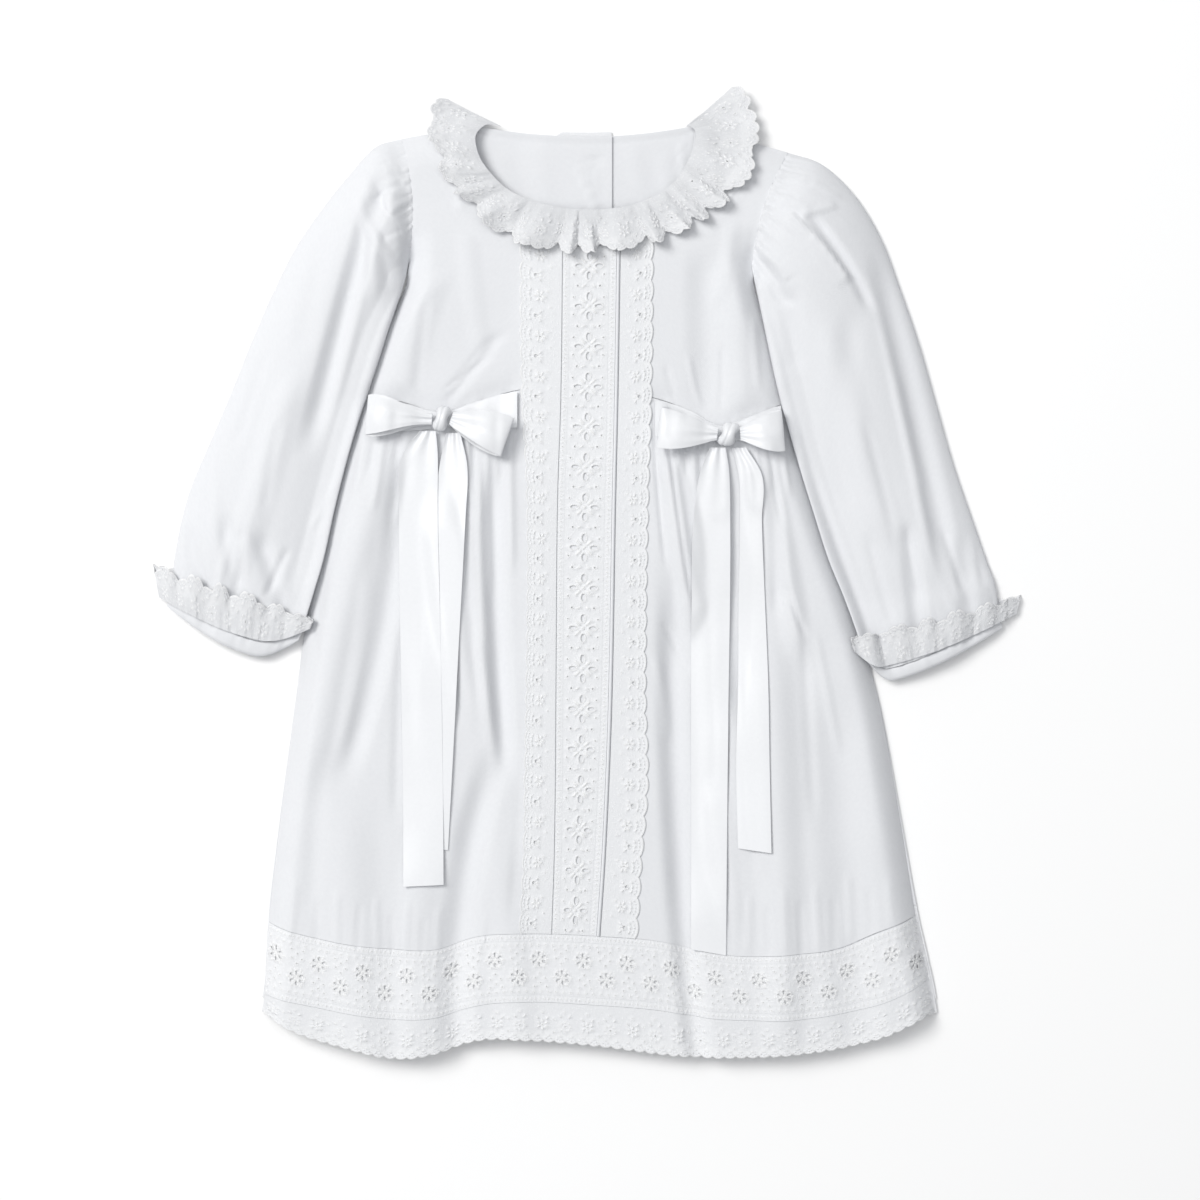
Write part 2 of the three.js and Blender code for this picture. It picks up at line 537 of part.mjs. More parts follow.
// A flattened tube through sections. A section is a bowed chord, with functions for the height
// of its top and of its underside at t of the way across. The underside has its places closer
// together at the inner fold, where it climbs over the body of the dress.
function flatTube(sections, topSteps, bottomSteps) {
  const places = [];
  for (let step = 0; step <= topSteps; step += 1) {
    places.push({ t: (1 - Math.cos((Math.PI * step) / topSteps)) / 2, face: 'top' });
  }
  for (let step = 0; step <= bottomSteps; step += 1) {
    places.push({ t: 1 - (step / bottomSteps) ** 2, face: 'bottom' });
  }
  const rings = sections.map((section) => {
    const width = Math.hypot(section.bx - section.ax, section.by - section.ay);
    const outer = places.map(({ t, face }) => [t * width, section[face](t)]);
    return { section, width, outer, inner: insetLoop(outer, CLOTH) };
  });
  const grid = (face) => (column, row) => {
    const { section, width } = rings[row];
    const [along, z] = rings[row][face][column % places.length];
    return [...chordPoint(section, along / width), z];
  };
  return wallBetween(places.length, sections.length - 1, grid('outer'), grid('inner'), true);
}

function chordPoint(section, t) {
  const { ax, ay, bx, by, bow, peak } = section;
  return bowedChord([ax, ay], [bx, by], ax < bx ? bow : -bow, peak, t);
}

// ---- Pieces --------------------------------------------------------------------------------

const dress = new THREE.Group();

function add(name, geometry, finish) {
  const roughness = finish === 'satin' ? 0.35 : 0.85;
  const color = COLOURS[finish];
  const material = new THREE.MeshStandardMaterial({ color, roughness, metalness: 0 });
  const mesh = new THREE.Mesh(geometry, material);
  mesh.name = name;
  dress.add(mesh);
}

const cotton = (name, place, columns, rows, height, under = -CLOTH, over = 0) =>
  add(name, clothPanel(place, columns, rows, height, under, over), 'cotton');
const lace = (name, place, columns, rows, under = -CLOTH, over = 0) =>
  add(name, clothPanel(place, columns, rows, frontTop, under, over), 'lace');

// The lengthwise seams of the front, where each half meets the centre panel.
const centreSeamX = {
  left: (y) => centreX(y, 'leftBeading') - SEAM,
  right: (y) => centreX(y, 'rightBeading') + BEADING_WIDTH + TUCK_WIDTH + 2 * SEAM,
};
const sideSeamX = { left: sideLeft, right: sideRight };
const skirtBottomY = (x) => hemY(x, 'upper') + BEADING_WIDTH / 2 + SEAM;

// The waist seam of one half of the front, from its side seam to the centre panel.
function waistEdge(side, shift) {
  const from = sideSeamX[side](99);
  const to = centreSeamX[side](103);
  return (t) => {
    const x = lerp(from, to, t);
    return [x, waistY(x) + shift];
  };
}

// An edge that runs up a lengthwise seam from one level to another.
const seamEdge = (seamX, fromY, toY) => (t) => {
  const y = lerp(fromY, toY, t);
  return [seamX(y), y];
};

function addFrontHalf(side) {
  const outerX = sideSeamX[side];
  const innerX = centreSeamX[side];
  const { underarm, shoulder } = ARMHOLES[side];
  const above = waistEdge(side, SEAM / 2);
  const below = waistEdge(side, -SEAM / 2);
  const lowestNeck = innerX(NECK.top - NECK.depth);
  const neckEnd = side === 'left' ? 0 : 180;
  const neckEdge = (t) => neckPoint(lerp(neckAngle(lowestNeck), neckEnd, t));
  const outer = halves(seamEdge(outerX, above(0)[1], underarm[1]), (t) => armhole(side, t));
  const inner = halves(seamEdge(innerX, above(1)[1], neckY(lowestNeck)), neckEdge);
  const shoulderEdge = (t) => pointOn(shoulder, neckPoint(neckEnd), t);
  cotton(`front_bodice_${side}`, patch(above, shoulderEdge, outer, inner), 12, 8, frontTop);

  const hemFrom = outerX(-207);
  const hemTo = innerX(-209);
  const hemEdge = (t) => {
    const x = lerp(hemFrom, hemTo, t);
    return [x, skirtBottomY(x)];
  };
  const sideEdge = seamEdge(outerX, hemEdge(0)[1], below(0)[1]);
  const centreEdge = seamEdge(innerX, hemEdge(1)[1], below(1)[1]);
  cotton(`front_skirt_${side}`, patch(hemEdge, below, sideEdge, centreEdge), 12, 13, frontTop);
}

// A lengthwise strip of the centre front between two lines, from the hem band to the neck.
function centreStrip(fromX, toX) {
  const topY = (x) => neckY(x) - SEAM / 2;
  return (u, v) => {
    const level = lerp(skirtBottomY(0), topY(0), v);
    const x = lerp(fromX(level), toX(level), u);
    return [x, lerp(skirtBottomY(x), topY(x), v)];
  };
}

function addCentreFront() {
  const line = (name, shift = 0) => (y) => centreX(y, name) + shift;
  const beading = BEADING_WIDTH;
  const rows = 14;
  const insertion = centreStrip(line('leftBeading', beading + SEAM), line('rightBeading', -SEAM));
  lace('centre_insertion', insertion, 2, rows);
  for (const side of ['left', 'right']) {
    const name = `${side}Beading`;
    lace(`centre_beading_${side}`, centreStrip(line(name), line(name, beading)), 1, rows);
  }
  const tuckFrom = line('rightBeading', beading + SEAM);
  const tuck = centreStrip(tuckFrom, line('rightBeading', beading + SEAM + TUCK_WIDTH));
  cotton('centre_tuck', tuck, 1, rows, frontTop, -CLOTH, CLOTH);
  const edgings = {
    left: centreStrip(line('leftScallop'), centreSeamX.left),
    right: centreStrip(centreSeamX.right, line('rightScallop')),
  };
  for (const side of ['left', 'right']) {
    lace(`centre_edging_${side}`, edgings[side], 3, rows, LACE_LAYER, LACE_LAYER + CLOTH);
  }
}

// A crosswise strip of the hem band between two lines, from side seam to side seam. Its columns
// meet those of the skirt above it: 12 for each half and 4 for the centre.
function hemStrip(bottomY, topY) {
  const middle = [centreSeamX.left(-212), centreSeamX.right(-212)];
  return (u, v) => {
    const level = lerp(bottomY(0), topY(0), v) + 5;
    const ends = [sideLeft(level), sideRight(level)];
    const column = u * HEM_COLUMNS;
    let x = lerp(middle[0], middle[1], (column - 12) / 4);
    if (column < 12) {
      x = lerp(ends[0], middle[0], column / 12);
    } else if (column > 16) {
      x = lerp(middle[1], ends[1], (column - 16) / 12);
    }
    return [x, lerp(bottomY(x), topY(x), v)];
  };
}

function addHemBand() {
  const line = (name, shift) => (x) => hemY(x, name) + shift;
  const half = BEADING_WIDTH / 2;
  const upper = hemStrip(line('upper', -half), line('upper', half));
  const insertion = hemStrip(line('lower', half + SEAM), line('upper', -half - SEAM));
  const lower = hemStrip(line('lower', -half), line('lower', half));
  const edging = hemStrip(line('edge', 0), line('lower', -half - SEAM));
  lace('hem_beading_upper', upper, HEM_COLUMNS, 1);
  lace('hem_insertion', insertion, HEM_COLUMNS, 2);
  lace('hem_beading_lower', lower, HEM_COLUMNS, 1);
  lace('hem_edging', edging, HEM_COLUMNS, 1);
}

// The back lies flat. Its left half laps over its right one at the placket.
function addBack() {
  const lapStart = PLACKET.edge - PLACKET.lap;
  const lapLift = (x) => LAPPED * smoothstep(x, lapStart - 34, lapStart - 16);
  const heights = {
    left: (x, y) => backLift(x, y) + lapLift(x),
    right: backLift,
  };
  const placketX = { left: PLACKET.edge, right: lapStart };
  for (const side of ['left', 'right']) {
    const { underarm, shoulder } = ARMHOLES[side];
    const neckCorner = neckPoint(side === 'left' ? 0 : 180);
    const placketTop = [placketX[side], backNeckY(placketX[side])];
    const waistOuter = [sideSeamX[side](BACK_WAIST), BACK_WAIST];
    const waistInner = [placketX[side], BACK_WAIST];
    const bottom = (t) => pointOn(waistOuter, waistInner, t);
    const neckEdge = (t) => {
      const x = lerp(neckCorner[0], placketTop[0], t);
      return [x, backNeckY(x)];
    };
    const top = halves((t) => pointOn(shoulder, neckCorner, t), neckEdge);
    const sideSeam = seamEdge(sideSeamX[side], BACK_WAIST, underarm[1]);
    const outer = halves(sideSeam, (t) => armhole(side, t));
    const placket = (t) => pointOn(waistInner, placketTop, t);
    const place = patch(bottom, top, outer, placket);
    cotton(`back_bodice_${side}`, place, 8, 6, heights[side], 0, CLOTH);
  }

  const across = (bottomY, topY) => (u, v) => {
    const level = lerp(bottomY(0), topY(0), v);
    const x = lerp(sideLeft(level), sideRight(level), u);
    return [x, lerp(bottomY(x), topY(x), v)];
  };
  const floor = () => 0;
  const line = (name, shift) => (x) => hemY(x, name) + BACK_HEM_RISE + shift;
  const skirt = across(line('upper', SEAM), () => BACK_WAIST - SEAM);
  cotton('back_skirt', skirt, 10, 4, floor, 0, CLOTH);
  const insertion = across(line('lower', SEAM), line('upper', 0));
  const edging = across(line('edge', 0), line('lower', 0));
  add('back_hem_insertion', clothPanel(insertion, 10, 1, floor, 0, CLOTH), 'lace');
  add('back_hem_edging', clothPanel(edging, 10, 1, floor, 0, CLOTH), 'lace');
}

// The underside of a sleeve: on the floor, or on the body of the dress where it crosses that.
function sleeveRest(x, y, reach) {
  const side = x < NECK.x ? 'left' : 'right';
  const below = ARMHOLES[side].underarm[1] - y;
  const rest = restOn(x, y, reach) * smoothstep(below, 3, 14);
  return rest + Math.min(rest, SLEEVE_CLEARANCE);
}

// A section with heights: it rests `lift` above what is under it, and its top is a puff.
function puffSection(row, lift, reach) {
  const swell = (t) => Math.sin(Math.PI * t) ** 0.55;
  const bottom = (t) => sleeveRest(...chordPoint(row, t), reach) + lift;
  const top = (t) => {
    const [x, y] = chordPoint(row, t);
    return bottom(t) + FOLD_EDGE + swell(t) * (row.rise + foldHeight(SLEEVE_FOLDS, x, y));
  };
  return { ...row, top, bottom };
}

function addSleeve(side) {
  const rows = SLEEVES[side];
  const last = rows.length - 1;
  const sections = rows.map((row, i) =>
    i < last - 1 ? puffSection(row, 0, SLEEVE_REACH) : puffSection(row, CUFF_LIFT, CUFF_REACH)
  );
  sections[0].top = (t) => frontTop(...armhole(side, 1 - t));
  add(`sleeve_${side}`, flatTube(sections, 10, 5), 'cotton');

  const wrist = sections[last];
  const start = { ...wrist, ay: wrist.ay - 1.3 * SEAM, by: wrist.by - 1.3 * SEAM };
  const end = puffSection(CUFFS[side].end, CUFF_LIFT, CUFF_REACH);
  add(`cuff_${side}`, flatTube([start, end], 10, 5), 'cotton');
  add(`cuff_ruffle_${side}`, cuffRuffle(wrist, sections[last - 1], side), 'lace');
}

// The ruffle round the end of a sleeve, turned up over it: a wavy tube just outside the sleeve,
// from its sewn edge at the cuff seam to its free edge up the sleeve.
function cuffRuffle(wrist, above, side) {
  const { ruffleRoot, ruffleEdge } = CUFFS[side];
  const sections = [0, 0.5, 1].map((step) => {
    const section = {};
    for (const key of Object.keys(ruffleRoot)) {
      section[key] = lerp(ruffleRoot[key], ruffleEdge[key], step);
    }
    const overlap = [section.ax, section.bx].map((x) => (x - wrist.ax) / (wrist.bx - wrist.ax));
    section.bottom = (t) => sleeveRest(...chordPoint(section, t), SLEEVE_REACH);
    section.top = (t) => {
      const place = lerp(overlap[0], overlap[1], t);
      const sleeveTop = (shift) => {
        const across = clamp(place + shift, 0, 1);
        return Math.max(wrist.top(across), lerp(wrist.top(across), above.top(across), step));
      };
      const cover = Math.max(...[-0.07, 0, 0.07].map(sleeveTop)) + LAPPED + 0.2;
      const beyond = Math.max(place / overlap[0], (place - 1) / (overlap[1] - 1), 0);
      const wave = (1 - Math.cos(2 * Math.PI * CUFF_RUFFLE.waves * t)) / 2;
      const fade = lerp(0.15, 1, step) * Math.min(1, 8 * t, 8 * (1 - t));
      const base = lerp(cover, section.bottom(t) + FOLD_EDGE, Math.min(beyond, 1) ** 2);
      return base + CUFF_RUFFLE.swell * wave * fade;
    };
    return section;
  });
  return flatTube(sections, 20, 5);
}

// The neck ruffle on the front, in waves that swell towards its free edge.
function addNeckRuffle() {
  const last = NECK_RUFFLE.length - 1;
  const underside = (u, v) => {
    const at = (name) => read(NECK_RUFFLE, 'row', name, u * last);
    const x = lerp(at('rootX'), at('edgeX'), v);
    const y = lerp(at('rootY'), at('edgeY'), v);
    const wave = (1 - Math.cos(2 * Math.PI * NECK_RUFFLE_WAVES * u)) / 2;
    const z = restOn(x, y, 4) + AIR + 0.3 + v ** 1.3 * (NECK_RUFFLE_SWELL * wave + at('stand'));
    return new THREE.Vector3(x, y, z);
  };
  const columns = NECK_RUFFLE_WAVES * 4;
  const rows = 2;
  const face = (out) => (column, row) => {
    const [u, v] = [column / columns, row / rows];
    const here = underside(u, v);
    const alongU = underside(Math.min(u + 0.004, 1), v).sub(underside(Math.max(u - 0.004, 0), v));
    const alongV = underside(u, Math.min(v + 0.1, 1)).sub(underside(u, Math.max(v - 0.1, 0)));
    const normal = alongU.cross(alongV).normalize();
    return here.addScaledVector(normal, normal.z < 0 ? -out : out).toArray();
  };
  add('neck_ruffle', wallBetween(columns, rows, face(CLOTH), face(0)), 'lace');

  const { left, right, end } = BACK_RUFFLE;
  const topY = (x) => {
    const peek = smoothstep(x, end.from, end.to) * (x < PLACKET.edge ? end.height : 0);
    return backNeckY(x) - SEAM + peek;
  };
  const halfOf = (fromX, toX) => (u, v) => {
    const x = lerp(fromX, toX, u);
    return [x, topY(x) - BACK_RUFFLE_DEPTH * (1 - v)];
  };
  const backs = {
    left: halfOf(left, PLACKET.edge - SEAM),
    right: halfOf(PLACKET.edge + SEAM, right),
  };
  for (const side of ['left', 'right']) {
    const geometry = clothPanel(backs[side], 8, 1, () => 0, 0, CLOTH);
    add(`neck_ruffle_back_${side}`, geometry, 'lace');
  }
}

// A ribbon over a patch, lying `layer(v)` above the dress and bridging its gathers.
function ribbonPanel(place, columns, rows, layer) {
  const at = (out) => (column, row) => {
    const v = row / rows;
    const [x, y] = place(column / columns, v);
    return [x, y, restOn(x, y, RIBBON_REACH) + layer(v) + out];
  };
  return wallBetween(columns, rows, at(RIBBON), at(0));
}

// How high a tail lies at a level: flat across, on the highest cloth under its width.
function tailHeight(table, y) {
  const [x, width] = [read(table, 'y', 'x', y), read(table, 'y', 'width', y)];
  const heights = [-0.5, -0.25, 0, 0.25, 0.5].map((side) => restOn(x + side * width, y, 3));
  return Math.max(...heights) + read(table, 'y', 'layer', y);
}

// A tail that lies on the dress, and on another tail where there is one below it.
function ribbonTail(table, below) {
  const bottom = table[0].y;
  const top = table[table.length - 1].y;
  const at = (out) => (column, row) => {
    const y = lerp(bottom, top, row / TAIL_ROWS);
    const x = read(table, 'y', 'x', y) + (column - 0.5) * read(table, 'y', 'width', y);
    const onCloth = tailHeight(table, y);
    const onTail = below ? tailHeight(below, clamp(y, below[0].y, top)) + RIBBON + 2 * AIR : 0;
    return [x, y, Math.max(onCloth, onTail) + out];
  };
  return wallBetween(1, TAIL_ROWS, at(RIBBON), at(0));
}

// The flat ribbon from the knot along the waist seam to where it is sewn in.
function ribbonBand(knot, band) {
  const fromX = knot.x + Math.sign(band.x - knot.x) * SEAM;
  const place = (u, v) => {
    const open = Math.sqrt(v);
    const lower = lerp(knot.y - 4, band.bottom, open);
    const upper = lerp(knot.y + 3, band.top, open);
    const x = lerp(fromX, band.x, v);
    return [x, Math.min(lerp(lower, upper, u), waistY(x) - lerp(1, 0, u))];
  };
  return ribbonPanel(place, 2, 4, () => AIR);
}

// A loop of ribbon: out from the knot along its underside and back over the top.
function ribbonLoop(knot, end) {
  const heading = Math.sign(end.x - knot.x);
  const from = [knot.x + heading * (knot.width / 2 + AIR + 0.2), knot.y];
  const length = Math.hypot(end.x - from[0], end.y - from[1]);
  const along = [(end.x - from[0]) / length, (end.y - from[1]) / length];
  const steps = 10;
  const profile = (s) => {
    const climb = s - Math.sin(2 * Math.PI * s) / (2 * Math.PI);
    const squeeze = 1 - 0.5 * smoothstep(s, 0.75, 1);
    return [length * Math.sin(Math.PI * s), LOOP_RISE * climb * squeeze];
  };
  const face = (out) => (column, row) => {
    const s = column / steps;
    const [here, ahead, behind] = [s, Math.min(s + 0.01, 1), Math.max(s - 0.01, 0)].map(profile);
    const [da, dz] = [ahead[0] - behind[0], ahead[1] - behind[1]];
    const step = Math.hypot(da, dz);
    const a = here[0] - (out * dz) / step;
    const open = smoothstep(here[0] / length, 0, 1);
    const across = (row / 2 - 0.5) * lerp(LOOP_WIDTH.knot, LOOP_WIDTH.end, Math.sqrt(open));
    const x = from[0] + along[0] * a - along[1] * across;
    const y = from[1] + along[1] * a + along[0] * across;
    return [x, y, restOn(x, y, RIBBON_REACH) + BOW_LAYER + here[1] + (out * da) / step];
  };
  return wallBetween(steps, 2, face(0), face(RIBBON));
}

function bowKnot(knot) {
  const height = 5.5;
  const geometry = new THREE.SphereGeometry(1, 9, 6);
  geometry.deleteAttribute('normal');
  geometry.deleteAttribute('uv');
  geometry.scale(knot.width / 2, knot.length / 2, height);
  const z = restOn(knot.x, knot.y, RIBBON_REACH) + AIR + RIBBON + knot.seat + height;
  geometry.translate(knot.x, knot.y, z);
  return geometry;
}

function addBow(side) {
  const bow = BOWS[side];
  const piece = (name, geometry) => add(`bow_${side}_${name}`, geometry, 'satin');
  piece('band_inner', ribbonBand(bow.knot, bow.innerBand));
  piece('band_outer', ribbonBand(bow.knot, bow.outerBand));
  piece('tail_short', ribbonTail(bow.shortTail));
  piece('tail_long', ribbonTail(bow.longTail, side === 'left' ? bow.shortTail : null));
  piece('loop_inner', ribbonLoop(bow.knot, bow.innerLoop));
  piece('loop_outer', ribbonLoop(bow.knot, bow.outerLoop));
  piece('knot', bowKnot(bow.knot));
}

dress.position.set(FRAME_SHIFT.x, FRAME_SHIFT.y, 0);
addBack();
for (const side of ['left', 'right']) {
  addFrontHalf(side);
  addSleeve(side);
}
addCentreFront();
addHemBand();
addNeckRuffle();
addBow('left');
addBow('right');

export default dress;
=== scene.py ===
# %% [markdown]
# # An eyelet dress, laid flat
#
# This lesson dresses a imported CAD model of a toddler's cotton dress. The model gives every cut
# piece as a closed wall, in the place where it lies. Here each wall is replaced by a thin shell
# of cloth on the same form, with its creases, its gathers, its eyelet lace and its satin bows.

# %% Load the frame
from functools import partial

import bpy
import numpy as np
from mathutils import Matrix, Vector
from mathutils.geometry import delaunay_2d_cdt


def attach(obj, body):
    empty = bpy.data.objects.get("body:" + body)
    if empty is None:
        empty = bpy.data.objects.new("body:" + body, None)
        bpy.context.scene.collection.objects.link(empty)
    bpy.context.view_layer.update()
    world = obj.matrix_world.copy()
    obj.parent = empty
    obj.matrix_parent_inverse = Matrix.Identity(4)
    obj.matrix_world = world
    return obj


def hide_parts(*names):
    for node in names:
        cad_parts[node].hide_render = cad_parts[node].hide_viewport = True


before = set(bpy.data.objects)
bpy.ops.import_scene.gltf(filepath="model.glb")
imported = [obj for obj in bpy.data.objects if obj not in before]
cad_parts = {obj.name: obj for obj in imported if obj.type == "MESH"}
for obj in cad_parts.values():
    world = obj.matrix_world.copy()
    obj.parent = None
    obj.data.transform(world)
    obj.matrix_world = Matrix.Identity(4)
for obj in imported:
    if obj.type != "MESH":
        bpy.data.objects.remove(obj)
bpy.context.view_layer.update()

print("pieces in the frame:", len(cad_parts))

# %% [markdown]
# ## Where we look from, and the light
#
# The dress is seen straight from above. A long lens keeps its edges from leaning outwards. Most
# of the light comes from a broad panel overhead, so cloth that lies level is brightest and each
# edge that turns down is a little darker than the floor. A window on the upper left gives the
# folds a gentle shade on their right sides and draws a soft shadow beside the dress.

# %% Camera, lights and floor
MM = 0.001
VIEW = {"x": 7.5, "y": -17.6, "width": 696, "lens": 85, "sensor": 36}
LIGHTS = {
    "window": {"place": (-1.9, 1.25, 2.9), "size": 1.5, "power": 86, "colour": (1.0, 0.99, 0.97)},
    "ceiling": {"place": (-0.1, 0.2, 2.8), "size": 2.2, "power": 26, "colour": (1.0, 1.0, 1.0)},
}
ROOM = 0.36

camera_data = bpy.data.cameras.new("camera")
camera_data.lens = VIEW["lens"]
camera_data.sensor_width = VIEW["sensor"]
camera = bpy.data.objects.new("camera", camera_data)
camera_height = VIEW["width"] * VIEW["lens"] / VIEW["sensor"]
camera.location = (VIEW["x"] * MM, VIEW["y"] * MM, camera_height * MM)
scene = bpy.context.scene
scene.collection.objects.link(camera)
scene.camera = camera

for name, light in LIGHTS.items():
    lamp_data = bpy.data.lights.new(name, "AREA")
    lamp_data.size = light["size"]
    lamp_data.energy = light["power"]
    lamp_data.color = light["colour"]
    lamp = bpy.data.objects.new(name, lamp_data)
    lamp.location = light["place"]
    lamp.rotation_euler = (-Vector(light["place"])).to_track_quat("-Z", "Y").to_euler()
    scene.collection.objects.link(lamp)

world = bpy.data.worlds.new("room")
world.use_nodes = True
world.node_tree.nodes["Background"].inputs["Color"].default_value = (0.95, 0.97, 1.0, 1)
world.node_tree.nodes["Background"].inputs["Strength"].default_value = ROOM
scene.world = world
scene.view_settings.view_transform = "Standard"

floor_mesh = bpy.data.meshes.new("floor")
corners = [(-3, -3, -0.0004), (3, -3, -0.0004), (3, 3, -0.0004), (-3, 3, -0.0004)]
floor_mesh.from_pydata(corners, [], [(0, 1, 2, 3)])
floor = bpy.data.objects.new("floor", floor_mesh)
scene.collection.objects.link(floor)
print("camera height in mm:", round(camera_height))

# %% [markdown]
# ## The sizes
#
# All sizes are in millimetres, as a maker measures them, and become metres only when a mesh is
# made. They are the sizes of the CAD pieces, so that each shell sits on its own wall.

# %% Named sizes
CLOTH = 1.2
RIBBON = 1.0
SEAM = 0.3
AIR = 0.3
LAPPED = CLOTH + AIR
FOLD_EDGE = 2 * CLOTH + 0.6
SHELL = 0.55
SIDE_ROUND = 15
SHOULDER_ROUND = 20
BEADING_WIDTH = 3.8
TUCK_WIDTH = 2
NECK_X, NECK_TOP, NECK_HALF, NECK_DEPTH, NECK_SQUARE = -1.5, 257.5, 63.5, 49.5, 2.4
BACK_NECK_DROP = 6.5
BACK_RUFFLE_DEPTH = 23
PLACKET_EDGE, PLACKET_LAP = 14.2, 20
BACK_WAIST = 95
BACK_HEM_RISE = 8
FRAME_SHIFT = (0.25, -0.51)
SIDES = ("left", "right")


def table(columns, *rows):
    """A table with named columns: each becomes an array."""
    return {name: np.array([row[i] for row in rows], float)
            for i, name in enumerate(columns.split())}


SIDE_SEAMS = table(
    "y left right",
    (-282, -190, 204), (-256, -187.7, 201), (-209, -185, 191.5), (-145, -178, 181),
    (-75, -169, 168.5), (-29, -163, 156), (20, -152.5, 138.5), (60, -142, 125.5),
    (100, -130.5, 115), (140, -117, 104.5), (163, -106, 97), (179, -103, 95))
WAIST = table(
    "x y",
    (-132, 100.5), (-109, 97.5), (-86, 91.5), (-65, 97), (-39, 104), (0, 104), (38, 99.5),
    (59, 92), (76, 83.5), (90, 87.3), (117, 98))
HEM = table(
    "x upper lower edge",
    (-187, -205, -243, -256), (-167, -211, -247, -266.5), (-138, -217, -252.5, -275),
    (-109, -220, -256, -281), (-86, -220, -255, -278), (-62, -212.5, -248, -270.5),
    (-39, -211, -246, -270.3), (7, -212.5, -248, -274), (42, -215.5, -251, -278.5),
    (65, -221, -255, -280.5), (88, -224, -256.5, -280.5), (118, -223, -256.5, -279),
    (146, -219.5, -253, -275), (170, -209.5, -247, -269), (196, -200, -235, -257))
CENTRE = table(
    "y left_scallop left_beading right_beading right_scallop",
    (-212, -40, -20.5, 1, 29), (-168, -37.5, -19, 4, 31.5), (-122, -36.7, -18.3, 6.3, 35.3),
    (-75, -35.8, -18, 8, 34), (41, -35.5, -17, 10.2, 35.5), (99, -38.5, -15.2, 11.5, 37.3),
    (210, -39.3, -14, 13.2, 38.5))
CROWN = table("y rise", (-285, 13), (-200, 12.5), (-60, 11), (60, 10), (98, 8), (180, 8), (260, 6))
ARMHOLES = {
    "left": {"underarm": (-103, 179), "shoulder": (-107, 250), "bow": 4},
    "right": {"underarm": (95, 175), "shoulder": (116, 242), "bow": -4},
}
print("height of the dress in mm:", SIDE_SEAMS["y"][-1] - HEM["edge"].min())

# %% [markdown]
# ## The creases
#
# On the real dress the skirt is gathered into the waist, and the cloth was smoothed by hand
# when it was laid out. A simulation would give other folds than these, so they are listed one by
# one. A row of the table is one soft ridge, or a trough where its height is negative. It runs
# down the cloth from `top` to `bottom`, through three places across it. They are uneven in
# length, depth and spacing. The first table holds the large folds that the CAD piece also has.

# %% Tables of creases
FOLD_COLUMNS = "top bottom x_top x_mid x_bottom width height"
FRONT_FOLDS = table(
    FOLD_COLUMNS,
    (85, -140, -112, -141, -163, 16, 3.5), (78, -130, -106, -116, -142, 10, -3),
    (45, -100, -84, -75, -62, 10, 3), (72, -110, -63, -61, -55, 7, 3),
    (70, -130, -54, -52, -45, 9, -4), (-90, -330, -48, -74, -68, 13, -4.5),
    (-120, -340, -140, -134, -120, 22, 3), (-150, -330, -96, -98, -100, 16, 2),
    (-140, -340, -55, -42, -35, 16, 2), (76, -40, 44, 53, 60, 8, 3.5),
    (10, -330, 50, 52, 72, 11, -4.5), (70, -100, 85, 85, 88, 8, -3.5),
    (75, -60, 99, 112, 125, 11, 3.5), (60, -30, 104, 109, 111, 7, -3),
    (-20, -300, 104, 111, 112, 16, 3.5), (-60, -300, 140, 150, 158, 20, -3),
    (190, 84, 68, 68, 70, 14, -2.5), (190, 86, 86, 88, 90, 12, 2),
    (175, 96, -86, -100, -108, 14, 2), (140, 94, -48, -66, -84, 8, -1.5))
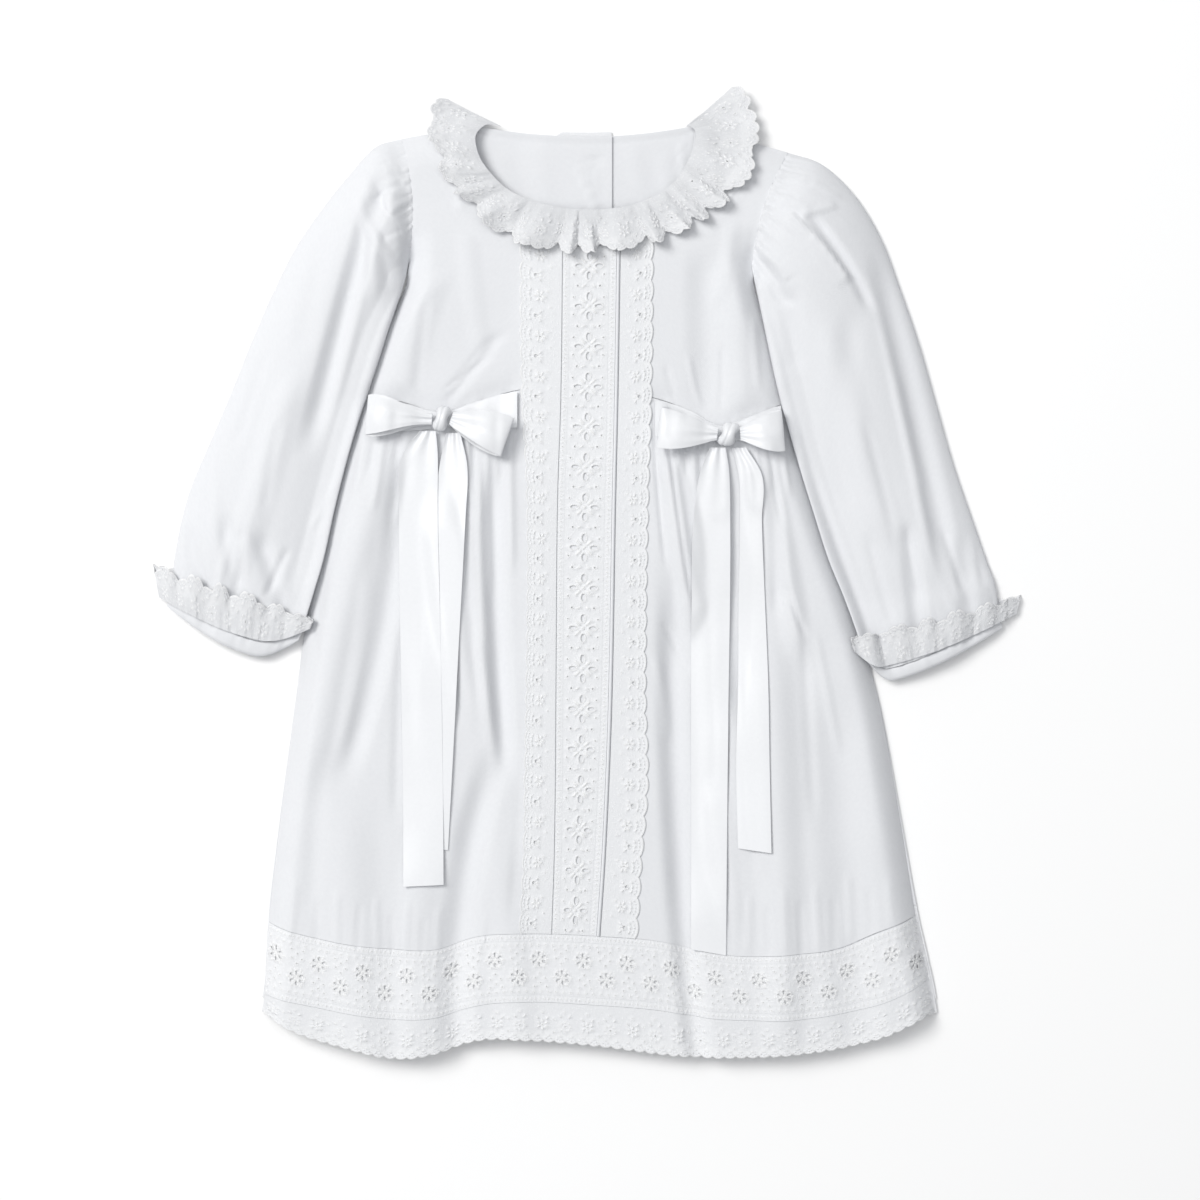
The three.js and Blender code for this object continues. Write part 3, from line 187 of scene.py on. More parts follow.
FRONT_CREASES = table(
    FOLD_COLUMNS,
    # gathers under the waist seam, left of the centre
    (99, 40, -128, -130, -134, 4, 1.1), (98, 52, -122, -123, -126, 3, -1.2),
    (97, 30, -116, -119, -124, 3.5, 1.0), (95, 60, -108, -109, -111, 2.5, -1.0),
    (92, 20, -103, -106, -111, 3.5, 0.9), (90, 48, -77, -76, -75, 2.5, -1.0),
    (92, 36, -70, -69, -68, 3, 1.1), (94, 24, -66, -65, -64, 2.5, -1.3),
    (97, -22, -58, -57, -55, 3, 1.2), (98, 44, -50, -50, -49, 2, -1.1),
    (99, -8, -45, -44, -43, 4, 1.6), (100, 58, -41, -41, -41, 2, -0.9),
    # gathers under the waist seam, right of the centre
    (97, -4, 37.5, 41, 46, 2.6, -1.7), (94, 62, 42, 43, 44, 2, 0.9),
    (92, -24, 45, 52, 61, 2.4, -1.8), (90, 58, 50, 52, 53, 2, 1.1),
    (89, 52, 55.5, 56.5, 57.5, 2, -1.5), (88, 44, 60, 61, 62, 2.4, 1.2),
    (87, 50, 64, 65, 66, 2, -1.3), (84, 30, 72, 73, 75, 2.6, 0.9),
    (86, 34, 96, 98, 101, 2.4, 1.0), (88, 22, 103, 107, 113, 2.6, -1.3),
    (90, 40, 110, 113, 117, 2.6, 1.1),
    # long soft lines down the skirt
    (10, -120, -124, -133, -146, 7, 1.2), (-20, -150, -106, -109, -110, 5, -1.1),
    (-40, -170, -92, -84, -80, 9, 0.8), (30, -60, -150, -154, -158, 6, -0.9),
    (-60, -210, -34, -38, -44, 5, -0.8), (-30, -120, -66, -57, -52, 5, 1.1),
    (-100, -205, -152, -156, -160, 8, -0.8), (-6, -40, 113, 119, 126, 2.6, -1.6),
    (-16, -150, 124, 127, 131, 5, -1.0), (-40, -190, 90, 97, 101, 6, 1.0),
    (-30, -110, 130, 138, 146, 4, 0.9), (-120, -210, 76, 82, 86, 6, 0.9),
    (20, -140, 74, 78, 79, 3, -1.4), (20, -212, 60, 64, 67, 25, -3.2),
    (-28, -62, 42, 52, 60, 3, -1.1), (-46, -100, 38, 44, 46, 5, 0.9),
    # short puckers where the skirt is joined to the hem lace
    (-176, -214, -168, -169, -171, 3, 0.7), (-188, -216, -155, -155, -156, 2.4, -0.7),
    (-182, -219, -143, -144, -144, 3, 0.8), (-190, -220, -131, -131, -132, 2, -0.8),
    (-186, -221, -121, -121, -120, 2.4, 0.8), (-196, -222, -112, -112, -112, 1.8, -0.8),
    (-188, -222, -103, -104, -104, 2.2, 0.8), (-198, -222, -94, -94, -95, 1.8, -0.7),
    (-192, -220, -85, -86, -86, 2.2, 0.7), (-196, -216, -58, -59, -60, 1.8, 0.6),
    (-194, -222, 82, 82, 81, 2, -0.7), (-184, -224, 93, 93, 92, 2.6, 0.8),
    (-190, -225, 103, 104, 104, 2, -0.9), (-180, -224, 112, 113, 114, 2.6, 0.8),
    (-188, -224, 122, 123, 123, 2, -0.9), (-178, -223, 131, 132, 133, 2.6, 0.8),
    (-186, -221, 141, 142, 142, 2, -0.8), (-172, -217, 150, 151, 152, 3, 0.8),
    (-182, -212, 162, 163, 164, 2.2, -0.7), (-176, -207, 173, 174, 175, 2.6, 0.7),
    # the bodice
    (103, 126, -84, -68, -50, 2.6, -0.9), (132, 96, -56, -70, -86, 3, 0.8),
    (160, 100, -92, -96, -99, 5, -0.8), (200, 120, -70, -66, -60, 9, 0.8),
    (126, 92, 58, 61, 66, 3, 0.9), (132, 90, 78, 78, 77, 3, -0.9),
    (150, 100, 96, 97, 99, 4, 0.8), (205, 150, 84, 80, 74, 7, 0.8),
    (120, 95, 45, 48, 52, 3, -0.7), (232, 206, 92, 84, 78, 3, 0.7))
BACK_CREASES = table(
    FOLD_COLUMNS,
    (250, 205, -34, -30, -24, 14, 0.6), (246, 204, -50, -46, -38, 9, 0.4),
    (250, 216, 26, 28, 34, 9, 0.5), (244, 212, 44, 46, 47, 7, 0.5),
    (60, -120, -90, -96, -104, 14, 0.5), (40, -160, 60, 66, 74, 14, 0.5),
    (70, -60, -20, -22, -28, 10, 0.5), (-60, -200, 110, 118, 124, 12, 0.5))
print("creases of the front:", len(FRONT_FOLDS["top"]) + len(FRONT_CREASES["top"]))

# %% [markdown]
# ## Reading the tables
#
# A curve through the rows of a table gives smooth seams from a few sizes. A Blender curve could
# do it too, but a panel has thousands of points, so everything works on whole arrays at once.

# %% Curves through tables
def smooth(x, low, high):
    t = np.clip((x - low) / (high - low), 0, 1)
    return t * t * (3 - 2 * t)


def lerp(a, b, t):
    return a + (b - a) * t


def read(rows, key, name, at):
    """One column of a table, read smoothly at `at` in its rising `key` column."""
    keys, values = rows[key], rows[name]
    slope = np.diff(values) / np.diff(keys)
    tangent = np.concatenate([slope[:1], (slope[1:] + slope[:-1]) / 2, slope[-1:]])
    at = np.clip(at, keys[0], keys[-1])
    row = np.clip(np.searchsorted(keys, at, side="right") - 1, 0, len(keys) - 2)
    span = keys[row + 1] - keys[row]
    rise = values[row + 1] - values[row]
    t = (at - keys[row]) / span
    start = tangent[row] * span - rise
    end = rise - tangent[row + 1] * span
    return values[row] + t * rise + t * (1 - t) * (start * (1 - t) + end * t)


def grid_places(columns, rows, low=0, high=1):
    """How far along each column is, from low to high, and each row, from 0 to 1."""
    return np.linspace(low, high, columns + 1)[None, :], np.linspace(0, 1, rows + 1)[:, None]


def side_seam(side, y):
    return read(SIDE_SEAMS, "y", side, y)


def waist_y(x):
    return read(WAIST, "x", "y", x)


def hem_y(x, line):
    return read(HEM, "x", line, x)


def centre_x(y, line):
    return read(CENTRE, "y", line, y)


print("waist seam at the middle:", float(waist_y(0.0)))

# %% [markdown]
# ## The seam lines
#
# The armholes are slightly bowed lines, and the neck is a rounded, squarish curve. They are the
# edges of the panels, so the pieces meet exactly as they do on the sewing table.

# %% Neck, shoulders and armholes
def bowed(ax, ay, bx, by, bow, peak, t):
    """A point t of the way from a to b, moved sideways by an arch that is highest at peak."""
    rise = np.where(t < peak, t / peak, (1 - t) / (1 - peak))
    shift = bow * np.sin(np.pi / 2 * np.clip(rise, 0, 1))
    dx, dy = bx - ax, by - ay
    length = np.hypot(dx, dy)
    return lerp(ax, bx, t) + shift * dy / length, lerp(ay, by, t) - shift * dx / length


def armhole(side, t):
    hole = ARMHOLES[side]
    return bowed(*hole["underarm"], *hole["shoulder"], hole["bow"], 0.5, t)


def neck_point(angle):
    turn = np.radians(angle)
    power = 2 / NECK_SQUARE
    across = np.sign(np.cos(turn)) * np.abs(np.cos(turn)) ** power
    down = np.sign(np.sin(turn)) * np.abs(np.sin(turn)) ** power
    return NECK_X - NECK_HALF * across, NECK_TOP - NECK_DEPTH * down


def neck_y(x):
    across = np.minimum(np.abs(x - NECK_X) / NECK_HALF, 1)
    return NECK_TOP - NECK_DEPTH * (1 - across ** NECK_SQUARE) ** (1 / NECK_SQUARE)


def neck_angle(x):
    across = (NECK_X - x) / NECK_HALF
    return np.degrees(np.arccos(np.sign(across) * np.abs(across) ** (NECK_SQUARE / 2)))


def back_neck_y(x):
    across = np.clip((x - NECK_X) / NECK_HALF, -1, 1)
    return NECK_TOP - BACK_NECK_DROP * (1 - across ** 2)


def shoulder_y(x):
    left, right = (np.array(ARMHOLES[s]["shoulder"]) for s in SIDES)
    tip_x = np.where(x < NECK_X, left[0], right[0])
    tip_y = np.where(x < NECK_X, left[1], right[1])
    t = (np.abs(x - NECK_X) - NECK_HALF) / (np.abs(tip_x - NECK_X) - NECK_HALF)
    return lerp(NECK_TOP, tip_y, np.maximum(t, 0))


print("neck width in mm:", 2 * NECK_HALF)

# %% [markdown]
# ## How high the cloth lies
#
# Cloth that was laid out by hand is never quite even. A crease is a soft ridge along a bent
# line. A few long, faint waves lie under it, and small puckers or pleats run out of each seam,
# where the stitching draws the cloth in. A texture could fake them, but they would cast no
# shade, so each is a height in millimetres. The waves and puckers are random with fixed seeds.

# %% Creases, waves, puckers and pleats
SINES = 7
# seed, longest, shortest and height of the long waves in each field of cloth
WAVES = {"front": (11, 95, 34, 0.22), "back bodice": (21, 60, 22, 0.12),
         "back skirt": (31, 110, 40, 0.15), "sleeve": (51, 90, 30, 0.25),
         "lower tail": (81, 120, 60, 0.25), "upper tail": (89, 120, 60, 0.25)}
# seed, pitch, reach and height of the puckers that run out of each seam
PUCKERS = {"below waist": (5, 5.5, 9, 0.32), "above waist": (6, 9, 5, 0.16), "side": (8, 11, 6, 0.2),
           "cap": (45, 3.1, 4, 0.9), "cuff top": (61, 6, 7, 0.35), "cuff end": (62, 12, 7, 0.3)}


def fold_height(rows, x, y):
    """The sum of a table of folds at (x, y)."""
    height = np.zeros(np.broadcast(x, y).shape)
    for top, bottom, x_top, x_mid, x_bottom, width, rise in zip(*rows.values()):
        t = (top - y) / (top - bottom)
        middle = lerp(x_top, x_bottom, t) + (4 * x_mid - 2 * (x_top + x_bottom)) * t * (1 - t)
        off = np.abs(x - middle) / width
        ends = smooth(t, 0, 0.2) * smooth(1 - t, 0, 0.2)
        inside = (t > 0) & (t < 1) & (off < 1)
        height += np.where(inside, rise * ends * np.cos(np.pi / 2 * np.minimum(off, 1)) ** 2, 0)
    return height


def waves(x, y, seed, longest, shortest, height):
    """Faint uneven waves: a few sines with seeded directions and lengths."""
    draw = np.random.default_rng(seed)
    total = np.zeros(np.broadcast(x, y).shape)
    for _ in range(SINES):
        angle, phase = draw.uniform(0, np.pi), draw.uniform(0, 2 * np.pi)
        length = draw.uniform(shortest, longest)
        total += np.sin(2 * np.pi * (x * np.cos(angle) + y * np.sin(angle)) / length + phase)
    return height * total / np.sqrt(SINES)


def puckers(along, away, seed, pitch, reach, height):
    """Ripples across a seam: `along` it, dying out at `away` from it."""
    draw = np.random.default_rng(seed)
    phase = draw.uniform(0, 2 * np.pi, 3)
    ripple = sum(np.sin(2 * np.pi * along / (pitch * k) + p) for k, p in zip((1, 1.37, 2.3), phase))
    return height * ripple / 1.7 * np.exp(-np.abs(away) / reach)


def pleats(along, away, seed, pitch, reach, height):
    """Rounded ridges with sharp valleys between them, which run out from a gathered seam."""
    draw = np.random.default_rng(seed)
    depth, length = draw.uniform(0.3, 1.2, 64), draw.uniform(0.4, 1.7, 64)
    place = along / pitch + 0.3 * np.sin(along / (1.9 * pitch) + draw.uniform(0, 6))
    pleat = np.floor(place).astype(int) % 64
    fade = np.exp(-np.abs(away) / (reach * length[pleat]))
    return height * depth[pleat] * fade * np.abs(np.sin(np.pi * place)) ** 0.8


def round_up(distance, reach):
    return np.sin(np.pi / 2 * np.clip(distance / reach, 0, 1))


print("deepest and highest folds of the front in mm:", min(FRONT_FOLDS["height"]), max(FRONT_FOLDS["height"]))

# %% [markdown]
# ## The front as it lies
#
# The front is a low dome over the flat back. It rises from each side seam and dips at the waist,
# and the creases are added to it. The lace down its middle holds it flat, so the creases fade
# out there. The CAD wall has the same dome with its large folds.

# %% Height of the front
FLAT_CENTRE = 34
WAIST_DIP, WAIST_DIP_REACH = 1.5, 7


def back_lift(x, y):
    across = smooth(NECK_HALF + 14 - np.abs(x - NECK_X), 0, 8)
    ruffle_end = NECK_TOP - BACK_NECK_DROP - BACK_RUFFLE_DEPTH
    return LAPPED * across * smooth(y, ruffle_end - 24, ruffle_end - 14)


def from_side(x, y):
    """How far inside the nearer side seam a place is."""
    return np.where(x < NECK_X, x - side_seam("left", y), side_seam("right", y) - x)


def underarm_y(x):
    return np.where(x < NECK_X, *(ARMHOLES[side]["underarm"][1] for side in SIDES))


def front_form(x, y):
    """Top of the front, with its large folds only."""
    underarm = underarm_y(x)
    side_rise = lerp(round_up(from_side(x, y), SIDE_ROUND), 1, smooth(y, underarm, underarm + 26))
    shoulder_rise = round_up(shoulder_y(x) - y, SHOULDER_ROUND)
    from_centre = np.abs(x - NECK_X)
    dip = WAIST_DIP * np.exp(-(((y - waist_y(x)) / WAIST_DIP_REACH) ** 2))
    dip = dip * smooth(from_centre, FLAT_CENTRE, FLAT_CENTRE + 12)
    crown = read(CROWN, "y", "rise", y) + fold_height(FRONT_FOLDS, x, y) - dip
    return CLOTH + LAPPED + back_lift(x, y) + crown * side_rise * shoulder_rise


def front_top(x, y):
    """Top of the front, with its creases, its uneven lie and its puckered seams."""
    inward, over_waist = from_side(x, y), y - waist_y(x)
    calm = smooth(np.abs(x - NECK_X), FLAT_CENTRE, FLAT_CENTRE + 10)
    fine = fold_height(FRONT_CREASES, x, y) + waves(x, y, *WAVES["front"])
    fine = fine + puckers(x, over_waist, *PUCKERS["below waist"]) * (y < waist_y(x) + 1)
    fine = fine + puckers(x, over_waist, *PUCKERS["above waist"]) * (y >= waist_y(x) + 1)
    fine = fine + puckers(y, inward, *PUCKERS["side"])
    sewn_down = (LAPPED - SHELL) * (1 - smooth(inward, 0, 3)) * (y < 170)
    return front_form(x, y) + fine * calm * round_up(inward + 1, 8) - sewn_down


def dress_top(x, y):
    """Top of all that lies on the front, falling away to the floor outside its seams."""
    outside = np.maximum.reduce([
        side_seam("left", y) - x, x - side_seam("right", y), y - shoulder_y(x), 0 * x])
    on_centre = np.where((np.abs(x) < 42) & (y < NECK_TOP - NECK_DEPTH + 6), LAPPED, 0)
    return np.where(outside > 0, np.maximum(CLOTH + LAPPED - outside / 2, 0), front_top(x, y) + on_centre)


middle_of_skirt = (np.array(0.), np.array(-60.))
print("front height at the middle of the skirt:", round(float(front_top(*middle_of_skirt)), 2))

# %% [markdown]
# ## From points to cloth
#
# A piece of cloth is one mesh of points that lie on its form, with a thin shell made by the
# Solidify modifier, so that each cut edge has a thickness. The UV map is the cloth's own flat
# size in metres, so a weave can follow the thread. Each piece replaces its CAD wall and rides on
# the one body, and each sheet notes what size it was cut to.

# %% Making a piece
LEAST_AREA = 0.31  # the least share of its own flat size at which the measured area of a sheet is clipped
materials = {}
sheets = []


def mesh_of(name, points, faces, uv, masks=None):
    """A mesh in metres from points in millimetres, with a UV map in metres."""
    mesh = bpy.data.meshes.new(name)
    place = (np.asarray(points) + (*FRAME_SHIFT, 0)) * MM
    mesh.from_pydata(place.tolist(), [], [tuple(f) for f in faces])
    corner = np.zeros(len(mesh.loops), int)
    mesh.loops.foreach_get("vertex_index", corner)
    layer = mesh.uv_layers.new(name="cut")
    layer.data.foreach_set("uv", (np.asarray(uv)[corner] * MM).ravel())
    for mask, values in (masks or {}).items():
        attribute = mesh.attributes.new(mask, "FLOAT", "POINT")
        attribute.data.foreach_set("value", np.asarray(values, np.float32))
    mesh.polygons.foreach_set("use_smooth", np.ones(len(mesh.polygons), bool))
    edge = np.zeros(len(mesh.loops), int)
    mesh.loops.foreach_get("edge_index", edge)
    mesh.edges.foreach_set("use_edge_sharp", np.bincount(edge, minlength=len(mesh.edges)) == 1)
    mesh.update()
    return mesh


def dress_piece(node, mesh, finish, shell=SHELL, layer="cloth"):
    """A shell of cloth in place of one CAD node."""
    piece = bpy.data.objects.new(f"{node}_{layer}", mesh)
    scene.collection.objects.link(piece)
    mesh.materials.append(materials[finish])
    thickness = piece.modifiers.new("thickness", "SOLIDIFY")
    thickness.thickness = shell * MM
    thickness.offset = -1
    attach(piece, "root")
    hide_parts(node)
    return piece


def cloth(node, mesh, finish, flat, shell=SHELL, layer="cloth"):
    """A sheet of cloth. flat is its cut width and length in millimetres."""
    piece = dress_piece(node, mesh, finish, shell, layer)
    width, length = (size * MM for size in flat)
    area = sum(polygon.area for polygon in mesh.polygons)
    area = float(np.clip(area, LEAST_AREA * width * length, width * length))
    sheets.append((node, round(flat[0]), round(flat[1]), len(mesh.polygons)))
    return piece


print("a sheet covers at least", LEAST_AREA, "of its flat size")

# %% [markdown]
# Most pieces are grids of points whose rows and columns follow the threads. A grid could be a
# plane with modifiers, but its points are worked out here at once, from the heights. The cut
# size of a piece is measured along its own rows and columns, over every fold.

# %% Pieces from a grid of points
def grid_faces(columns, rows, is_ring=False):
    """Quads of a grid of (rows + 1) by (columns + 1) points, or of a ring of `columns`."""
    across = columns if is_ring else columns + 1
    column, row = np.meshgrid(np.arange(columns), np.arange(rows))
    a = row * across + column
    b = row * across + (column + 1) % across
    return np.stack([a, b, b + across, a + across], -1).reshape(-1, 4)


def above(height, x, y, out):
    """Points on a height field, moved out along its normal."""
    step = 0.6
    slope_x = (height(x + step, y) - height(x - step, y)) / (2 * step)
    slope_y = (height(x, y + step) - height(x, y - step)) / (2 * step)
    length = np.sqrt(slope_x ** 2 + slope_y ** 2 + 1)
    x, y, out = np.broadcast_arrays(x, y, out)
    return np.stack([x - out * slope_x / length, y - out * slope_y / length,
                     height(x, y) + out / length], -1)


def grid_piece(node, points, finish, held, is_ring=False, flip=False, shell=SHELL,
               layer="cloth"):
    """A piece from a grid of points. Its cut size is the longest run of cloth each way."""
    rows, columns = points.shape[0] - 1, points.shape[1] - (0 if is_ring else 1)
    closed = np.concatenate([points, points[:, :1]], 1) if is_ring else points
    along_row, along_column = (np.linalg.norm(np.diff(closed, axis=axis), axis=-1) for axis in (1, 0))
    u = np.concatenate([np.zeros((rows + 1, 1)), np.cumsum(along_row, 1)], 1)
    v = np.concatenate([np.zeros((1, closed.shape[1])), np.cumsum(along_column, 0)], 0)
    flat = (along_row.sum(1).max(), along_column.sum(0).max())
    u, v = u[:, :points.shape[1]], v[:, :points.shape[1]]
    faces = grid_faces(columns, rows, is_ring)
    faces = faces[:, ::-1] if flip else faces
    mesh = mesh_of(node, points.reshape(-1, 3), faces, np.stack([u, v], -1).reshape(-1, 2))
    if held is None:
        return dress_piece(node, mesh, finish, shell)
    return cloth(node, mesh, finish, flat, shell, layer)


print("shell thickness in mm:", SHELL)

# %% [markdown]
# ## Finishes
#
# There are three cloths: fine cotton lawn, embroidered lace and satin ribbon. All of them are
# white, so they differ mostly in how they take the light. Lawn is matt, with a plain weave and a
# faint bloom from its loose fibres. Lace is lawn with raised satin stitch. Its flat bands are
# painted a little whiter than its ruffles. This is painted light, for the light that they catch
# lying flat. Ribbon has long floats on its face, so it shines.
#
# Two effects are shared by the finishes, so each is a node group with named inputs.

# %% Node helpers
def new_group(name, inputs, outputs):
    group = bpy.data.node_groups.new(name, "ShaderNodeTree")
    for label, kind, value in inputs:
        socket = group.interface.new_socket(label, in_out="INPUT", socket_type=kind)
        socket.default_value = value
    for label, kind in outputs:
        group.interface.new_socket(label, in_out="OUTPUT", socket_type=kind)
    return group, group.nodes.new("NodeGroupInput"), group.nodes.new("NodeGroupOutput")


def feed(tree, value, socket):
    """Link a socket, or set a number or an opaque colour."""
    if isinstance(value, bpy.types.NodeSocket):
        tree.links.new(value, socket)
    else:
        socket.default_value = (*value, 1) if isinstance(value, tuple) else value


def calculate(tree, operation, *values):
    """A Math node. Each value is a number or a socket."""
    node = tree.nodes.new("ShaderNodeMath")
    node.operation = operation
    for value, socket in zip(values, node.inputs):
        feed(tree, value, socket)
    return node.outputs[0]


def flat_place(tree):
    """The cut's own coordinates in metres, as two sockets."""
    uv = tree.nodes.new("ShaderNodeUVMap")
    uv.uv_map = "cut"
    split = tree.nodes.new("ShaderNodeSeparateXYZ")
    tree.links.new(uv.outputs[0], split.inputs[0])
    return uv.outputs[0], split.outputs[0], split.outputs[1]


print("helpers:", ", ".join(helper.__name__ for helper in (new_group, feed, calculate, flat_place)))

# %% [markdown]
# Plain weave is one thread over and one under, in both directions, with yarn that is thicker in
# some places. An image could show it, but a few Math nodes stay sharp at any size. The uneven
# yarn also changes the white a little.

# %% Plain weave
def plain_weave():
    """Warp over weft and weft over warp, thread by thread, with uneven yarn."""
    group, start, end = new_group(
        "Plain weave",
        [("Thread pitch", "NodeSocketFloat", 0.0005), ("Slub", "NodeSocketFloat", 0.5)],
        [("Height", "NodeSocketFloat"), ("Tone", "NodeSocketFloat")])
    uv, u, v = flat_place(group)
    math = partial(calculate, group)
    turn = [math("MULTIPLY", math("DIVIDE", axis, start.outputs[0]), np.pi) for axis in (u, v)]
    warp, weft = (math("SINE", t) for t in turn)
    over = math("GREATER_THAN", math("MULTIPLY", warp, weft), 0)
    warp, weft = (math("ABSOLUTE", w) for w in (warp, weft))
    difference = math("MULTIPLY", math("SUBTRACT", warp, weft), over)
    threads = math("ADD", weft, difference)
    yarn = group.nodes.new("ShaderNodeTexNoise")
    yarn.inputs["Scale"].default_value = 420
    yarn.inputs["Detail"].default_value = 3
    group.links.new(uv, yarn.inputs["Vector"])
    slub = math("MULTIPLY", yarn.outputs[0], start.outputs[1])
    group.links.new(math("ADD", threads, slub), end.inputs[0])
    group.links.new(yarn.outputs[0], end.inputs[1])
    return group


WEAVE = plain_weave()
print("group:", WEAVE.name)

# %% [markdown]
# Satin stitch is thread laid close, side by side, so it has fine ribs. The meshes say where it
# lies, in their `stitch` values. Tiny seeds of thread are scattered all over the lace as well,
# and they are the cells of a Voronoi texture.

# %% Satin stitch
def satin_stitch():
    """Where thread covers the cloth, the fine ribs of its stitches, and small seeds all over."""
    group, start, end = new_group(
        "Satin stitch",
        [("Thread pitch", "NodeSocketFloat", 0.0004)],
        [("Height", "NodeSocketFloat"), ("Cover", "NodeSocketFloat")])
    uv, u, v = flat_place(group)
    math = partial(calculate, group)
    along = math("DIVIDE", math("ADD", u, v), start.outputs[0])
    back = math("DIVIDE", math("SUBTRACT", u, v), start.outputs[0])
    ways = along, math("MULTIPLY", back, 0.37)
    ribs, cross = (math("SINE", math("MULTIPLY", way, 2 * np.pi)) for way in ways)
    ribs = math("ADD", ribs, math("MULTIPLY", cross, 1.4))
    cover = group.nodes.new("ShaderNodeAttribute")
    cover.attribute_name = "stitch"
    cells = group.nodes.new("ShaderNodeTexVoronoi")
    cells.inputs["Scale"].default_value = 720
    cells.inputs["Randomness"].default_value = 0.7
    group.links.new(uv, cells.inputs["Vector"])
    dome = math("SUBTRACT", 1, math("DIVIDE", cells.outputs["Distance"], 0.42))
    seed = math("MAXIMUM", dome, 0)
    relief = math("MULTIPLY", ribs, cover.outputs["Fac"])
    group.links.new(math("ADD", relief, math("MULTIPLY", seed, 3)), end.inputs[0])
    worked = math("MAXIMUM", cover.outputs["Fac"], math("MULTIPLY", seed, 0.5))
    group.links.new(worked, end.inputs[1])
    return group


STITCH = satin_stitch()
print("group:", STITCH.name)

# %% [markdown]
# ## The materials
#
# Each material keeps its own Principled shader, with its sheen, its roughness and its
# anisotropy set as plain numbers. The groups only feed the colour and the bump.

# %% Cotton, lace and satin
def blend_colours(tree, factor, *colours):
    mix = tree.nodes.new("ShaderNodeMix")
    mix.data_type = "RGBA"
    tree.links.new(factor, mix.inputs["Factor"])
    for colour, socket in zip(colours, mix.inputs[6:8]):
        feed(tree, colour, socket)
    return mix.outputs[2]


def make_finish(name, settings, colours, pitch, depth, slub=0.5):
    """A material of woven cloth. A third colour is the thread of its stitches."""
    material = bpy.data.materials.new(name)
    material.use_nodes = True
    tree = material.node_tree
    shader = tree.nodes["Principled BSDF"]
    for label, value in settings.items():
        shader.inputs[label].default_value = value
    weave = tree.nodes.new("ShaderNodeGroup")
    weave.node_tree = WEAVE
    weave.inputs["Thread pitch"].default_value = pitch
    weave.inputs["Slub"].default_value = slub
    height = weave.outputs["Height"]
    colour = blend_colours(tree, weave.outputs["Tone"], *colours[:2])
    if len(colours) > 2:
        thread = tree.nodes.new("ShaderNodeGroup")
        thread.node_tree = STITCH
        bare = calculate(tree, "SUBTRACT", 1, thread.outputs["Cover"])
        height = calculate(tree, "ADD", calculate(tree, "MULTIPLY", height, bare), thread.outputs["Height"])
        colour = blend_colours(tree, thread.outputs["Cover"], colour, colours[2])
    bump = tree.nodes.new("ShaderNodeBump")
    bump.inputs["Strength"].default_value = depth
    bump.inputs["Distance"].default_value = BUMP_DISTANCE
    tree.links.new(height, bump.inputs["Height"])
    tree.links.new(bump.outputs[0], shader.inputs["Normal"])
    tree.links.new(colour, shader.inputs["Base Color"])
    materials[name] = material


BUMP_DISTANCE = 0.0002
LAWN_PITCH, SATIN_PITCH = 0.00055, 0.00035
LAWN = {"Roughness": 0.9, "Specular IOR Level": 0.2, "Sheen Weight": 0.12, "Sheen Roughness": 0.5}
WORKED = {"Roughness": 0.8, "Specular IOR Level": 0.25, "Sheen Weight": 0.1, "Sheen Roughness": 0.4}
SATIN = {"Roughness": 0.36, "Specular IOR Level": 0.55, "Anisotropic": 0.5, "Sheen Weight": 0.05}
make_finish("cotton", LAWN, ((0.72, 0.73, 0.755), (0.77, 0.78, 0.80)), LAWN_PITCH, 0.25)
make_finish("lace", WORKED, ((0.69, 0.70, 0.72), (0.74, 0.75, 0.77), (0.94, 0.945, 0.955)), LAWN_PITCH, 0.5)
# The flat bands of lace are painted lighter than the ruffles' lace: painted light for the light that they
# catch lying flat.
make_finish("band lace painted lighter", WORKED, ((0.79, 0.80, 0.82), (0.84, 0.85, 0.87), (0.96, 0.965, 0.97)),
            LAWN_PITCH, 0.5)
make_finish("satin", SATIN, ((0.77, 0.78, 0.80), (0.81, 0.82, 0.84)), SATIN_PITCH, 0.06, slub=0.1)

floor_paint = bpy.data.materials.new("floor paint")
floor_paint.use_nodes = True
floor_paint.node_tree.nodes["Principled BSDF"].inputs["Base Color"].default_value = (0.95, 0.95, 0.95, 1)
floor_paint.node_tree.nodes["Principled BSDF"].inputs["Roughness"].default_value = 0.85
floor_mesh.materials.append(floor_paint)
print("materials:", list(materials))

# %% [markdown]
# ## Panels
#
# A panel is a patch between four seam lines. A bodice piece has its underarm half way up its
# outer edge and the start of the neck half way up its inner edge, so one patch fits the whole
# piece, and its rows of threads bend a little, as a cut piece does on the body.

# %% Patches between seam lines
# columns and rows of faces in each kind of grid
GRIDS = {"bodice": (60, 96), "skirt": (88, 150), "back bodice": (56, 84), "back skirt": (80, 70),
         "sleeve": (116, 152), "cuff": (110, 12), "tuck": (12, 260), "centre backing": (10, 130),
         "hem backing": (130, 12), "loop": (22, 64), "band": (14, 24), "tail": (14, 150), "knot": (44, 20)}


def halves(first, second):
    """One edge made of two."""
    def edge(t):
        a, b = first(np.clip(2 * t, 0, 1)), second(np.clip(2 * t - 1, 0, 1))
        return tuple(np.where(t < 0.5, p, q) for p, q in zip(a, b))
    return edge


def straight(a, b):
    return lambda t: (lerp(a[0], b[0], t), lerp(a[1], b[1], t))


def patch(bottom, top, left, right):
    """Places inside four edges that meet at their corners: u runs across, and v upwards."""
    ends = [(edge(np.array(0.)), edge(np.array(1.))) for edge in (bottom, top)]

    def place(u, v):
        low, high, near, far = bottom(u), top(u), left(v), right(v)
        return tuple(
            lerp(low[k], high[k], v) + lerp(near[k], far[k], u)
            - lerp(lerp(ends[0][0][k], ends[0][1][k], u), lerp(ends[1][0][k], ends[1][1][k], u), v)
            for k in (0, 1))
    return place


